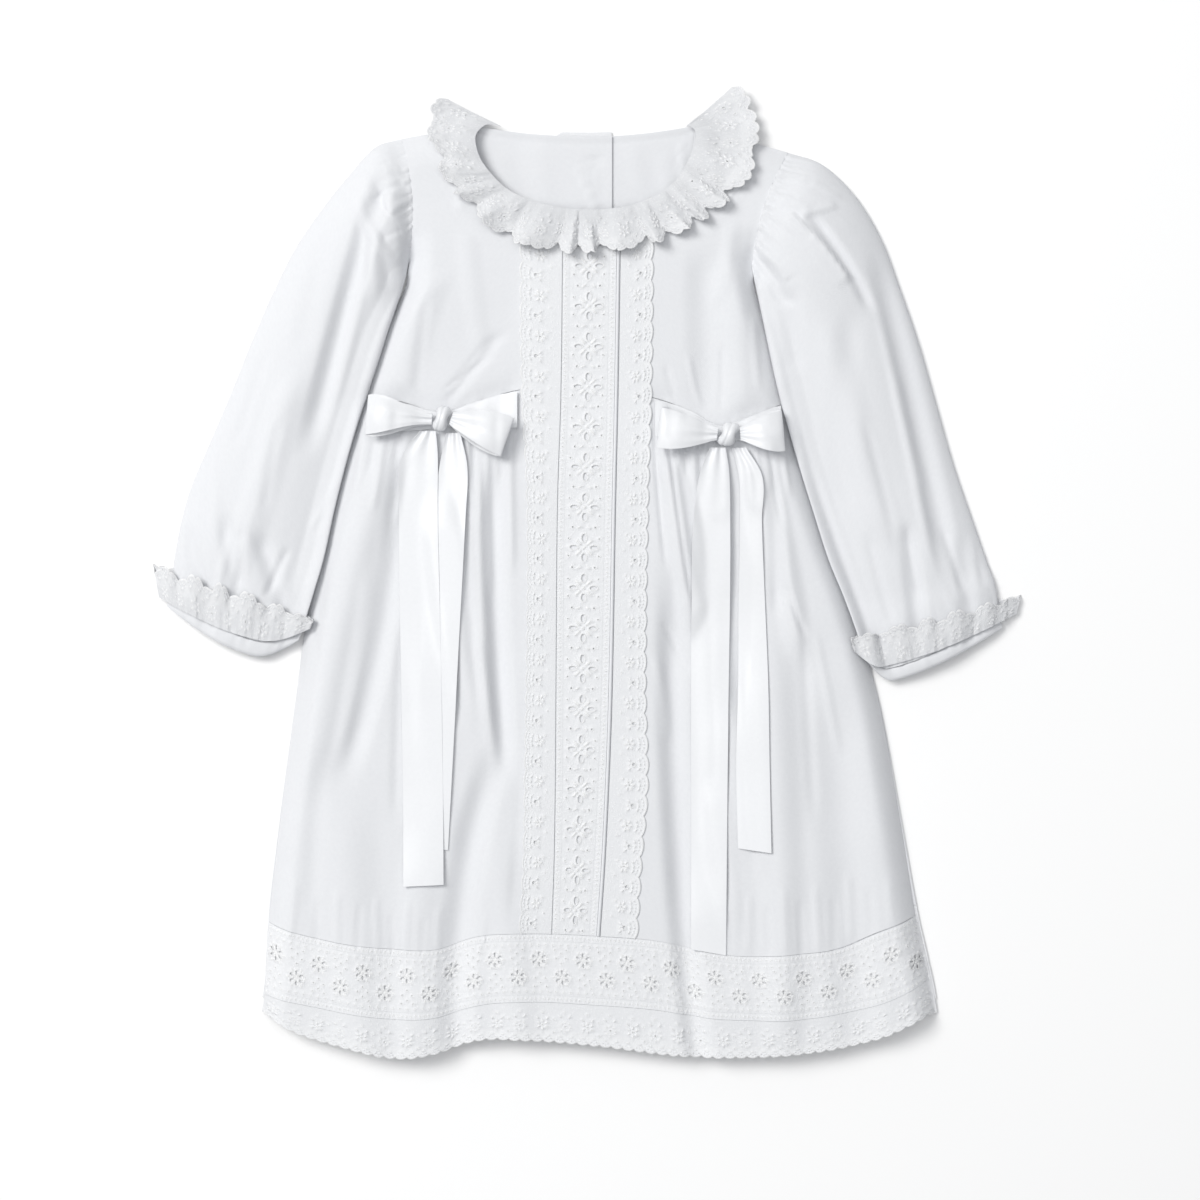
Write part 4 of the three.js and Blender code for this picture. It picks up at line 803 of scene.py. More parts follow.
def panel(place, grid, height, out=0):
    """The points of a panel: its places, at this height."""
    return above(height, *place(*grid_places(*GRIDS[grid])), out)


CENTRE_SEAM = {
    "left": lambda y: centre_x(y, "left_beading") - SEAM,
    "right": lambda y: centre_x(y, "right_beading") + BEADING_WIDTH + TUCK_WIDTH + 2 * SEAM,
}


def skirt_bottom_y(x):
    return hem_y(x, "upper") + BEADING_WIDTH / 2 + SEAM


def level_edge(seam_y, start, end):
    return lambda t: (lerp(start, end, t), seam_y(lerp(start, end, t)))


def seam_edge(seam_x, low, high):
    return lambda t: (seam_x(lerp(low, high, t)), lerp(low, high, t))


def waist_edge(side, shift):
    return level_edge(lambda x: waist_y(x) + shift, float(side_seam(side, 99)), float(CENTRE_SEAM[side](103)))


print("waist of the left half runs from", [round(float(v), 1) for v in waist_edge("left", 0)(np.array(0.))])

# %% [markdown]
# ## The front bodice and skirt
#
# The two halves of the front are the largest pieces, and the folds show most here. A coarse
# plane with a displacement texture would blur them, so each half is a fine grid, whose columns
# are about 1 mm apart at the waist, close enough for its narrowest gathers, and 2 mm at the hem.

# %% Front halves
NECK_ENDS = {"left": 0, "right": 180}


def front_half(side):
    hole = ARMHOLES[side]
    upper, lower = waist_edge(side, SEAM / 2), waist_edge(side, -SEAM / 2)
    start, end = np.array(0.), np.array(1.)
    lowest = float(CENTRE_SEAM[side](NECK_TOP - NECK_DEPTH))
    neck_end = NECK_ENDS[side]
    neck_start = float(neck_angle(lowest))
    outer = halves(seam_edge(partial(side_seam, side), float(upper(start)[1]), hole["underarm"][1]),
                   partial(armhole, side))
    inner = halves(seam_edge(CENTRE_SEAM[side], float(upper(end)[1]), float(neck_y(lowest))),
                   lambda t: neck_point(lerp(neck_start, neck_end, t)))
    shoulder = straight(hole["shoulder"], neck_point(neck_end))
    points = panel(patch(upper, shoulder, outer, inner), "bodice", front_top)
    grid_piece(f"front_bodice_{side}", points, "cotton", "laid", flip=side == "right")

    hem = level_edge(skirt_bottom_y, float(side_seam(side, -207)), float(CENTRE_SEAM[side](-209)))
    side_edge = seam_edge(partial(side_seam, side), float(hem(start)[1]), float(lower(start)[1]))
    centre_edge = seam_edge(CENTRE_SEAM[side], float(hem(end)[1]), float(lower(end)[1]))
    points = panel(patch(hem, lower, side_edge, centre_edge), "skirt", front_top)
    grid_piece(f"front_skirt_{side}", points, "cotton", "gathered", flip=side == "right")


for side in SIDES:
    front_half(side)
print("sheets so far:", sheets)

# %% [markdown]
# ## Eyelet lace
#
# The lace is broderie anglaise: cotton with punched holes whose rims are covered in stitches,
# and solid leaves of satin stitch. A motif is charted once, as a table of ellipses, and a flat
# tile is made from it with true holes and raised rims. Each ellipse has its middle, its half
# sizes, its turn, and whether it is punched. The tile is then repeated along a strip.

# %% Charts of the lace
STITCHES = "across along half_across half_along turn punched"


def petals(across, along, count, radius, half_out, half_side, punched, turn=0):
    """Rows of a chart: stitches or holes in a ring, each pointing outwards."""
    angles = turn + 360 * np.arange(count) / count
    return [(across + radius * np.cos(np.radians(a)), along + radius * np.sin(np.radians(a)),
             half_out, half_side, a, punched) for a in angles]


INSERTION = {"width": 22, "length": 24, "stitches": table(
    STITCHES,
    # four petals round a small knot of thread
    (11, 8.7, 1.15, 2.3, 0, 1), (11, 20.3, 1.15, 2.3, 0, 1),
    (5.4, 14.5, 2.1, 1.1, 0, 1), (16.6, 14.5, 2.1, 1.1, 0, 1), (11, 14.5, 0.9, 0.9, 0, 0),
    # leaves between the petals
    (8.0, 11.5, 0.65, 2.1, -45, 0), (14.0, 11.5, 0.65, 2.1, 45, 0),
    (8.0, 17.5, 0.65, 2.1, 45, 0), (14.0, 17.5, 0.65, 2.1, -45, 0),
    # eyelets down both sides
    (2.6, 9.3, 0.62, 0.62, 0, 1), (2.6, 19.7, 0.62, 0.62, 0, 1), (4.8, 2.5, 0.75, 0.85, 0, 1),
    (19.4, 9.3, 0.62, 0.62, 0, 1), (19.4, 19.7, 0.62, 0.62, 0, 1), (17.2, 2.5, 0.75, 0.85, 0, 1),
    (8.2, 2.5, 1.3, 0.45, 25, 0), (13.8, 2.5, 1.3, 0.45, -25, 0))}
EDGING = {"width": 25, "length": 24, "scallop": 12, "depth": 2, "stitches": table(
    STITCHES,
    # one scallop frames an eyelet, and the next a flower
    (15.3, 6, 0.95, 0.95, 0, 1), (12.4, 6, 0.8, 0.4, 0, 0), (12.7, 3.6, 1.0, 0.4, 40, 0),
    (12.7, 8.4, 1.0, 0.4, -40, 0),
    (12.7, 18, 0.6, 0.6, 0, 1), (15.2, 18, 1.15, 0.55, 0, 0), (10.2, 18, 1.15, 0.55, 0, 0),
    (13.9, 20.1, 1.15, 0.55, 60, 0), (11.5, 20.1, 1.15, 0.55, -60, 0),
    (13.9, 15.9, 1.15, 0.55, -60, 0), (11.5, 15.9, 1.15, 0.55, 60, 0),
    (6.4, 12.3, 0.4, 0.4, 0, 1), (8.4, 21.6, 0.8, 0.4, 30, 0),
    # an arch of pin-holes inside each scallop, over three bars of thread
    *((across, middle + off, 0.2, 0.2, 0, 1) for middle in (6, 18) for across, off in (
        (22.3, 0), (22.0, -2.1), (22.0, 2.1), (20.9, -3.9), (20.9, 3.9))),
    *((across, middle + off, 0.9, 0.35, turn, 0) for middle in (6, 18) for across, off, turn in (
        (19.2, 0, 90), (18.7, -2.6, 55), (18.7, 2.6, -55))))}
FINE_EDGING = {"width": 25, "length": 24, "scallop": 6, "depth": 1.4, "stitches": table(
    STITCHES,
    # a flower, and an eyelet with dots round it
    (14, 6, 0.55, 0.55, 0, 1), *petals(14, 6, 6, 2.4, 0.9, 0.45, 0),
    (14.6, 18, 0.65, 0.65, 0, 1), *petals(14.6, 18, 8, 2.7, 0.4, 0.4, 0),
    (18.4, 12, 0.5, 0.5, 0, 1), (9.6, 3.4, 1.0, 0.4, 35, 0), (9.6, 8.6, 1.0, 0.4, -35, 0),
    (6.2, 6, 0.45, 0.45, 0, 1), (8.6, 15.6, 0.9, 0.35, 40, 0), (8.6, 20.4, 0.9, 0.35, -40, 0),
    (5.4, 18, 0.4, 0.4, 0, 1), (10.4, 12, 0.45, 0.45, 0, 1),
    # pin-holes inside each scallop, over one bar of thread
    *(row for middle in (3, 9, 15, 21) for row in (
        (23.1, middle, 0.2, 0.2, 0, 1), (22.4, middle - 1.3, 0.2, 0.2, 0, 1),
        (22.4, middle + 1.3, 0.2, 0.2, 0, 1), (20.7, middle, 0.8, 0.3, 90, 0))))}
WIDE = {"width": 30, "length": 24, "stitches": table(
    STITCHES,
    # two flowers, each with six punched petals and leaves between them
    *(row for middle in ((10, 6), (20, 18)) for row in (
        (*middle, 0.8, 0.8, 0, 0), *petals(*middle, 6, 2.9, 1.2, 0.55, 1),
        *petals(*middle, 6, 4.6, 0.8, 0.4, 0, turn=30))),
    # groups of eyelets beside them, and a row along each border
    *petals(20.6, 6, 4, 2.7, 0.5, 0.5, 1), *petals(9.4, 18, 4, 2.7, 0.5, 0.5, 1),
    (25.2, 2.8, 0.5, 0.5, 0, 1), (25.2, 9.2, 0.5, 0.5, 0, 1),
    (4.8, 14.8, 0.5, 0.5, 0, 1), (4.8, 21.2, 0.5, 0.5, 0, 1),
    *((across, along, 0.4, 0.4, 0, 1) for across in (2, 28) for along in range(2, 24, 4)))}
BEADING = {"width": 3.8, "length": 2.6, "stitches": table(
    STITCHES, (1.9, 1.3, 0.5, 0.32, 0, 1))}
print("insertion stitches:", len(INSERTION["stitches"]["turn"]),
      "edging stitches:", len(EDGING["stitches"]["turn"]))

# %% [markdown]
# A hole is punched in the cloth and its rim is whipped with thread, so its edge is low and a
# raised ring runs round it. A leaf has no hole, and rises to its middle. Small ones are simpler.
# Each is a few rings of points, which carry their height and how much thread covers them.

# %% Rings of stitches
LEAST_ROUND, MOST_POINTS = 5.25, 16


def ring(middle, half, turn, grow, scale, count):
    angle = 2 * np.pi * np.arange(count) / count
    p, q = (half[0] * scale + grow) * np.cos(angle), (half[1] * scale + grow) * np.sin(angle)
    c, s = np.cos(np.radians(turn)), np.sin(np.radians(turn))
    return np.stack([middle[0] + p * c - q * s, middle[1] + p * s + q * c], -1)


def off_middle(points, middle, half, turn, grow=0.0):
    """1 on the ellipse, less inside it, more outside."""
    c, s = np.cos(np.radians(turn)), np.sin(np.radians(turn))
    x, y = points[:, 0] - middle[0], points[:, 1] - middle[1]
    return np.hypot((x * c + y * s) / (half[0] + grow), (-x * s + y * c) / (half[1] + grow))


def stitch_rings(half, punched):
    """(grow, scale, height, thread) of each ring of a stitch, from the inside out."""
    if max(half) < 0.9:
        return [(0, 1, 0.32, 1), (0.4, 1, 0, 0.1)]
    if punched:
        return [(0, 1, 0.04, 1), (0.35, 1, 0.52, 1), (0.75, 1, 0, 0.1)]
    return [(0, 0.5, 0.58, 1), (0, 1, 0.36, 1), (0.3, 1, 0, 0)]


def ring_layers(stitches, gap):
    """Layers of points (points, height, thread) for all the rings, and the edges of the holes."""
    layers, loops, start = [], [], 0
    for middle, half, turn, punched in stitches:
        count = int(np.clip(2 * np.pi * np.mean(half) / gap, LEAST_ROUND / gap, MOST_POINTS))
        for grow, scale, height, cover in stitch_rings(half, punched):
            if punched and (grow, scale) == (0, 1):
                loops += [(start + k, start + (k + 1) % count) for k in range(count)]
            layers.append((ring(middle, half, turn, grow, scale, count), height, cover))
            start += count
    return layers, loops


print("rings of a small eyelet:", len(stitch_rings((0.6, 0.6), 1)))

# %% [markdown]
# The cloth between the stitches is plain. It needs points along its borders, which match at both
# ends of a tile, so that repeats join, and an even grid that keeps clear of the rings. A
# scalloped edge is bound with a cord of thread.

# %% Borders and plain cloth
CLEAR_OF = {"stitch": 0.55, "cut": 0.9, "cord": 1.9}
# (inset, height, thread) of each line of points down the free edge of a tile
CORD, CUT = [(0, 0.08, 1), (0.5, 0.45, 1), (1.1, 0, 0.2)], [(0, 0, 0)]


def edge_line(chart):
    """How far across a strip reaches, at each place along it."""
    def reach(v):
        if "scallop" not in chart:
            return np.full(np.shape(v), float(chart["width"]))
        arch = 1 - np.abs(np.sin(np.pi * np.asarray(v) / chart["scallop"])) ** 0.7
        return chart["width"] - chart["depth"] * arch
    return reach


def plain_points(chart, stitches, reach, border, pitch):
    """Points along both ends and the sewn side, and an even grid that keeps clear of the stitches."""
    width, length, has_scallops = chart["width"], chart["length"], "scallop" in chart
    across = np.linspace(0, 1, max(2, round(width / pitch)) + 1)[:-1]
    inner = width - (chart["depth"] + 1.6 if has_scallops else 0)
    ends = [np.stack([across * inner, np.full(len(across), end)], -1) for end in (0.0, length)]
    side = np.stack([np.zeros(len(border) - 2), border[1:-1]], -1)
    lattice_v, lattice_u = np.meshgrid(np.arange(pitch / 2, length, pitch), np.arange(pitch, width, pitch))
    lattice = np.stack([lattice_u.ravel(), lattice_v.ravel()], -1)
    clear = lattice[:, 0] < reach(lattice[:, 1]) - CLEAR_OF["cord" if has_scallops else "cut"]
    for middle, half, turn, punched in stitches:
        margin = stitch_rings(half, punched)[-1][0] + CLEAR_OF["stitch"]
        clear &= off_middle(lattice, middle, half, turn, margin) > 1
    return np.concatenate([*ends, side, lattice[clear]])


print("width of the edging between two scallops in mm:", edge_line(EDGING)(0.))

# %% [markdown]
# A tile is a Delaunay triangulation of all these points. Triangles inside a punched hole, or
# outside the scallops, are left out, so the holes are true ones, and what lies behind shows
# through them.

# %% From a chart to a tile
def make_tile(chart, pitch, size=1.0, gap=0.75):
    """Flat points, triangles, heights and thread cover of one repeat, `size` times as large."""
    width, length, has_scallops = chart["width"], chart["length"], "scallop" in chart
    stitches = [((across, along), (half_across, half_along), turn, punched)
                for across, along, half_across, half_along, turn, punched in zip(*chart["stitches"].values())]
    reach = edge_line(chart)
    layers, loops = ring_layers(stitches, gap)
    start = sum(len(layer[0]) for layer in layers)
    border = np.linspace(0, length, max(3, round(length / (1.0 if has_scallops else pitch))) + 1)
    loops += [(start + k, start + k + 1) for k in range(len(border) - 1)]
    layers += [(np.stack([reach(border) - inset, border], -1), height, cover)
               for inset, height, cover in (CORD if has_scallops else CUT)]
    plain = plain_points(chart, stitches, reach, border, pitch)
    worked = 0.4 * smooth(plain[:, 0], width - 9, width - 6) if has_scallops else 0
    layers.append((plain, 0, worked))
    points = np.concatenate([layer[0] for layer in layers])
    masks = [np.concatenate([np.broadcast_to(layer[k], len(layer[0])) for layer in layers]) for k in (1, 2)]

    flat, _, faces, source, _, _ = delaunay_2d_cdt([Vector(p) for p in points], loops, [], 0, 1e-5, True)
    flat, faces = np.array([tuple(p) for p in flat]), np.array(faces)
    source = [ids[0] if ids else -1 for ids in source]
    heights, thread = (np.append(mask, 0)[source] for mask in masks)
    middles = flat[faces].mean(1)
    keep = middles[:, 0] < reach(middles[:, 1]) + 1e-6
    for middle, half, turn, punched in stitches:
        if punched:
            keep &= off_middle(middles, middle, half, turn) > 0.97
    return {"flat": flat * size, "faces": faces[keep], "height": heights, "thread": thread,
            "width": width * size, "length": length * size}


print("triangles in a tile of beading:", len(make_tile(BEADING, pitch=0.95)["faces"]))

# %% [markdown]
# A strip is one tile laid end to end. The narrow edging of the cuffs is the outer part of the
# fine edging, with smaller stitches. The hem lace of the back hardly shows, so it is coarser.

# %% Repeats
def repeat_tile(tile, count):
    """The tile laid end to end, with the points of its borders merged."""
    number = len(tile["flat"])
    flat = np.concatenate([tile["flat"] + (0, k * tile["length"]) for k in range(count)])
    faces = np.concatenate([tile["faces"] + k * number for k in range(count)])
    _, first, same = np.unique(np.round(flat, 3), axis=0, return_index=True, return_inverse=True)
    same = same.ravel()
    merged = same[faces]
    whole = (merged[:, 0] != merged[:, 1]) & (merged[:, 1] != merged[:, 2]) & (merged[:, 0] != merged[:, 2])
    strip = {"flat": flat[first], "faces": merged[whole], "width": tile["width"],
             "length": tile["length"] * count}
    for mask in ("height", "thread"):
        strip[mask] = np.tile(tile[mask], count)[first]
    return strip


NARROW = {**FINE_EDGING, "width": 15.5, "stitches": {
    name: (values * (0.85 if "half" in name else 1) - 9.5 * (name == "across"))[
        FINE_EDGING["stitches"]["across"] > 11]
    for name, values in FINE_EDGING["stitches"].items()}}
TILES = {
    "insertion": make_tile(INSERTION, pitch=2.3),
    "wide_insertion": make_tile(WIDE, pitch=2.3, size=1.07),
    "edging": make_tile(EDGING, pitch=2.4),
    "narrow_edging": make_tile(NARROW, pitch=2.0),
    "fine_edging": make_tile(FINE_EDGING, pitch=2.0, size=1.08),
    "beading": make_tile(BEADING, pitch=0.95),
    "back_insertion": make_tile(WIDE, pitch=3.0, size=1.07, gap=1.05),
    "back_edging": make_tile(FINE_EDGING, pitch=3.0, size=1.08, gap=1.05),
}
print({name: len(tile["faces"]) for name, tile in TILES.items()}, "triangles a repeat")

# %% [markdown]
# ## Sewing a strip on
#
# A strip follows a surface, given as a function of two places from 0 to 1 and a distance out.
# The beadings and the tuck are narrower than a sheet can be, so they are trims, and are not
# listed as sheets.

# %% Strips and trims
# By default a strip takes the band lace, which is painted lighter for the light on flat bands.
def strip_piece(node, tile, surface, run, held="laid", mirror=False, flip=False,
                out=0.0, finish="band lace painted lighter", size=None):
    """Lace along a surface. run is its length in millimetres, and mirror puts its edge at 0."""
    strip = repeat_tile(TILES[tile], max(1, round(run / TILES[tile]["length"])))
    u, v = strip["flat"][:, 0] / strip["width"], strip["flat"][:, 1] / strip["length"]
    points = surface(1 - u if mirror else u, v, out + strip["height"])
    faces = strip["faces"][:, ::-1] if flip != mirror else strip["faces"]
    mesh = mesh_of(node, points, faces, strip["flat"], {"stitch": strip["thread"]})
    if held is None:
        return dress_piece(node, mesh, finish)
    return cloth(node, mesh, finish, size or (strip["width"], run))


def on_front(place):
    return lambda u, v, out: above(front_top, *place(u, v), out)


print("repeats of beading in 100 mm:", round(100 / TILES["beading"]["length"]))

# %% [markdown]
# ## The centre front
#
# Down the middle run an insertion between two ladder beadings, a narrow tuck, and two wide
# edgings whose scallops turn outwards over the cotton. They could be one panel with a pattern,
# but they are sewn from separate laces, so each is a piece between its own two seam lines. Their
# edges almost meet, because a wide gap would show as a dark line.

# %% Centre front
def centre_strip(from_x, to_x):
    def place(u, v):
        low, high = skirt_bottom_y(0.), neck_y(0.) - SEAM / 2
        level = lerp(low, high, v)
        x = lerp(from_x(level), to_x(level), u)
        return x, lerp(skirt_bottom_y(x), neck_y(x) - SEAM / 2, v)
    return place


def centre_line(name, shift=0.0):
    return lambda y: centre_x(y, name) + shift


BACKING, BACKING_SHELL = -0.7, 0.3
EDGING_LIFT = 0.7


def backing(node, points):
    """Plain lawn close behind an insertion, which shows pale through its holes."""
    grid_piece(node, points, "cotton", "laid", shell=BACKING_SHELL, layer="backing")


CENTRE_RUN = 424
CLOSE = 0.13
centre_trims = [
    strip_piece(f"centre_beading_{side}", "beading", on_front(centre_strip(
        centre_line(f"{side}_beading", -CLOSE), centre_line(f"{side}_beading", BEADING_WIDTH + CLOSE))),
        CENTRE_RUN, held=None)
    for side in SIDES]
strip_piece("centre_insertion", "insertion", on_front(centre_strip(
    centre_line("left_beading", BEADING_WIDTH + SEAM - CLOSE), centre_line("right_beading", CLOSE - SEAM))),
    CENTRE_RUN)
centre_width = BEADING_WIDTH + TUCK_WIDTH + 3 * SEAM
backing("centre_insertion", panel(centre_strip(
    centre_line("left_beading", -2 * SEAM), centre_line("right_beading", centre_width)),
    "centre backing", front_top, BACKING))

tuck_from = BEADING_WIDTH + SEAM
tuck_place = centre_strip(centre_line("right_beading", tuck_from),
                          centre_line("right_beading", tuck_from + TUCK_WIDTH))
u, v = grid_places(*GRIDS["tuck"])
tuck_points = above(front_top, *tuck_place(u, v), 0.2 + 1.0 * np.sin(np.pi * (u + 0 * v)) ** 0.7)
tuck = dress_piece("centre_tuck", mesh_of(
    "centre_tuck", tuck_points.reshape(-1, 3), grid_faces(*GRIDS["tuck"]),
    np.stack(np.broadcast_arrays(4 * u, CENTRE_RUN * v), -1).reshape(-1, 2)), "cotton")

edging_places = {
    "left": centre_strip(centre_line("left_scallop"), CENTRE_SEAM["left"]),
    "right": centre_strip(CENTRE_SEAM["right"], centre_line("right_scallop"))}
for side in SIDES:
    strip_piece(f"centre_edging_{side}", "edging", on_front(edging_places[side]), CENTRE_RUN,
                mirror=side == "left", out=EDGING_LIFT)
print("centre lace repeats:", round(CENTRE_RUN / TILES["insertion"]["length"]))

# %% [markdown]
# ## The hem
#
# The hem band has a beading, a wide insertion, a second beading and a scalloped edging. They
# follow the hem lines of the front, so they rise and fall with its folds. The same lace closes
# the back, which lies on the floor and hardly shows, so its tiles are coarser there.

# %% Front hem
def crosswise(first_y, last_y, seams_up=0):
    """Places across the dress: u runs from the first line to the last, and v from left to right."""
    def place(u, v):
        level = lerp(first_y(0.), last_y(0.), u) + seams_up
        x = lerp(side_seam("left", level), side_seam("right", level), v)
        return x, lerp(first_y(x), last_y(x), u)
    return place


def hem_line(name, shift=0.0):
    return lambda x: hem_y(x, name) + shift


HEM_RUN = 392
SEAMS_UP = 5
half = BEADING_WIDTH / 2
hem_trims = [
    strip_piece(f"hem_beading_{line}", "beading", on_front(crosswise(
        hem_line(line, half + CLOSE), hem_line(line, -half - CLOSE), SEAMS_UP)), HEM_RUN, held=None)
    for line in ("upper", "lower")]
strip_piece("hem_insertion", "wide_insertion", on_front(crosswise(
    hem_line("upper", CLOSE - half - SEAM), hem_line("lower", half + SEAM - CLOSE), SEAMS_UP)), HEM_RUN)
behind_hem = crosswise(hem_line("upper", half + 2 * SEAM), hem_line("lower", -half - 2 * SEAM), SEAMS_UP)
backing("hem_insertion", panel(lambda u, v: behind_hem(1 - v, u), "hem backing", front_top, BACKING))
strip_piece("hem_edging", "fine_edging", on_front(crosswise(
    hem_line("lower", -half - SEAM), hem_line("edge"), SEAMS_UP)), HEM_RUN)
print("hem length in mm:", HEM_RUN)

# %% [markdown]
# ## The back
#
# The back lies flat on the floor with its inside up, and shows only through the neck. Its left
# half laps over the right one. The neck edge is rolled and stitched down, a facing folds in
# beside the placket, and the shoulder seams show as fine ridges. They could be thin pieces of
# their own, but they are a millimetre high at most, so they are lines in the height of the back.

# %% Height of the back
LINE_COLUMNS = "x_a y_a x_b y_b rise"
BACK_LINES = table(
    LINE_COLUMNS,
    (-5.3, 234.7, 5.8, 205, 1.0), (-1.5, 236.7, 8.1, 239, -0.9), (8.1, 239, 2.9, 230.8, -0.9),
    (54.2, 249, 56.2, 224, 0.9), (-58, 249, -60, 224, 0.4), (9.4, 250, 9.2, 130, -0.3))


def line_height(rows, x, y, width, slope=0.0):
    """Ridges along straight lines. A slope makes the right-hand side of a line gentle."""
    height = np.zeros(np.broadcast(x, y).shape)
    for a_x, a_y, b_x, b_y, rise in zip(*rows.values()):
        length = np.hypot(b_x - a_x, b_y - a_y)
        t = ((x - a_x) * (b_x - a_x) + (y - a_y) * (b_y - a_y)) / length ** 2
        off = ((x - a_x) * (b_y - a_y) - (y - a_y) * (b_x - a_x)) / length
        ridge = np.exp(-(off / width) ** 2)
        if slope:
            ridge = np.where(off > 0, np.exp(-off / slope), ridge)
        height += rise * ridge * smooth(t, 0, 0.15) * smooth(1 - t, 0, 0.15)
    return height


def back_height(side):
    lap_start = PLACKET_EDGE - PLACKET_LAP

    def height(x, y):
        lap = LAPPED * smooth(x, lap_start - 34, lap_start - 16) if side == "left" else 0
        from_edge = back_neck_y(x) - y
        rolled = 0.5 * (1 - smooth(from_edge, 2.4, 3.6)) - 0.25 * np.exp(-((from_edge - 3.4) / 0.6) ** 2)
        calm = smooth(from_edge, -1, 6)
        worn = fold_height(BACK_CREASES, x, y) * calm + line_height(BACK_LINES, x, y, 1.1)
        return CLOTH + back_lift(x, y) + lap + rolled + worn + waves(x, y, *WAVES["back bodice"])
    return height


print("the back rises at the neck by", round(float(back_lift(NECK_X, NECK_TOP)), 2), "mm")

# %% [markdown]
# Each back piece is one panel between its own seam lines. The skirt of the back is one panel
# from side to side, because it has no opening, and its lace follows the same hem lines.

# %% Back pieces
def back_bodice(side):
    hole, neck_corner = ARMHOLES[side], neck_point(NECK_ENDS[side])
    placket_x = PLACKET_EDGE if side == "left" else PLACKET_EDGE - PLACKET_LAP
    waist_outer = (float(side_seam(side, BACK_WAIST)), BACK_WAIST)
    waist_inner, placket_top = (placket_x, BACK_WAIST), (placket_x, float(back_neck_y(placket_x)))
    neck_edge = level_edge(back_neck_y, float(neck_corner[0]), placket_x)
    outer = halves(seam_edge(partial(side_seam, side), BACK_WAIST, hole["underarm"][1]),
                   partial(armhole, side))
    place = patch(straight(waist_outer, waist_inner),
                  halves(straight(hole["shoulder"], neck_corner), neck_edge),
                  outer, straight(waist_inner, placket_top))
    points = panel(place, "back bodice", back_height(side))
    grid_piece(f"back_bodice_{side}", points, "cotton", "laid", flip=side == "right")


for side in SIDES:
    back_bodice(side)


def back_field(x, y):
    return CLOTH + fold_height(BACK_CREASES, x, y) + waves(x, y, *WAVES["back skirt"])


skirt_place = crosswise(hem_line("upper", BACK_HEM_RISE + SEAM), lambda x: BACK_WAIST - SEAM + 0 * x)
skirt_points = panel(lambda u, v: skirt_place(v, u), "back skirt", back_field)
grid_piece("back_skirt", skirt_points, "cotton", "laid")
for name, bottom, top in (
        ("insertion", hem_line("lower", BACK_HEM_RISE + SEAM), hem_line("upper", BACK_HEM_RISE)),
        ("edging", hem_line("edge", BACK_HEM_RISE), hem_line("lower", BACK_HEM_RISE))):
    place = crosswise(top, bottom)
    strip_piece(f"back_hem_{name}", f"back_{name}", lambda u, v, out, place=place: above(
        lambda x, y: CLOTH + 0 * x, *place(u, v), out), HEM_RUN)
print("sheets so far:", len(sheets))

# %% [markdown]
# ## What lies on the dress
#
# Sleeves, ribbons and the neck ruffle rest on the front. A stiffer layer bridges the gathers
# below it, so each one rests on a copy of the front's height whose peaks were widened first.
# The copies are kept as height maps, one millimetre to a cell, because they are read often.

# %% Height maps to rest on
# how far a layer of each kind bridges what lies below it
BRIDGES = {"sleeve": 4, "ruffle": 4, "bow": 5, "tail": 7}
MAP_X, MAP_Y = np.arange(-262, 263.), np.arange(-292, 293.)
GRID_X, GRID_Y = np.meshgrid(MAP_X, MAP_Y)
rest_maps = {0: dress_top(GRID_X, GRID_Y)}


def shifted(grid, step_x, step_y):
    return np.roll(np.roll(grid, step_y, 0), step_x, 1)


def rest_map(reach):
    if reach not in rest_maps:
        wide = rest_maps[0].copy()
        for step_x in range(-reach, reach + 1):
            for step_y in range(-reach, reach + 1):
                if step_x ** 2 + step_y ** 2 <= reach ** 2 + 0.5:
                    wide = np.maximum(wide, shifted(rest_maps[0], step_x, step_y))
        for _ in range(2):
            wide = sum(shifted(wide, a, b) for a in (-1, 0, 1) for b in (-1, 0, 1)) / 9
        rest_maps[reach] = wide
    return rest_maps[reach]


def lie(x, y, reach):
    """The height at which a layer of this stiffness rests on the dress."""
    grid = rest_map(reach)
    column, row = np.clip(x - MAP_X[0], 0, len(MAP_X) - 1.001), np.clip(y - MAP_Y[0], 0, len(MAP_Y) - 1.001)
    i, j = column.astype(int), row.astype(int)
    a, b = column - i, row - j
    return lerp(lerp(grid[j, i], grid[j, i + 1], a), lerp(grid[j + 1, i], grid[j + 1, i + 1], a), b)


print("highest point of the front in mm:", round(float(rest_maps[0].max()), 1))

# %% [markdown]
# ## Sleeves
#
# A sleeve is a flattened tube. Its sections are bowed lines across it, from the armhole to the
# cuff, and each row of the table gives one, with how far it is puffed. The upper side carries
# the creases, and gathers run out of the armhole and up from the cuff, where the fullness is
# drawn in. Sections keep the outline of the sleeve where it lies, which a simulation would not.

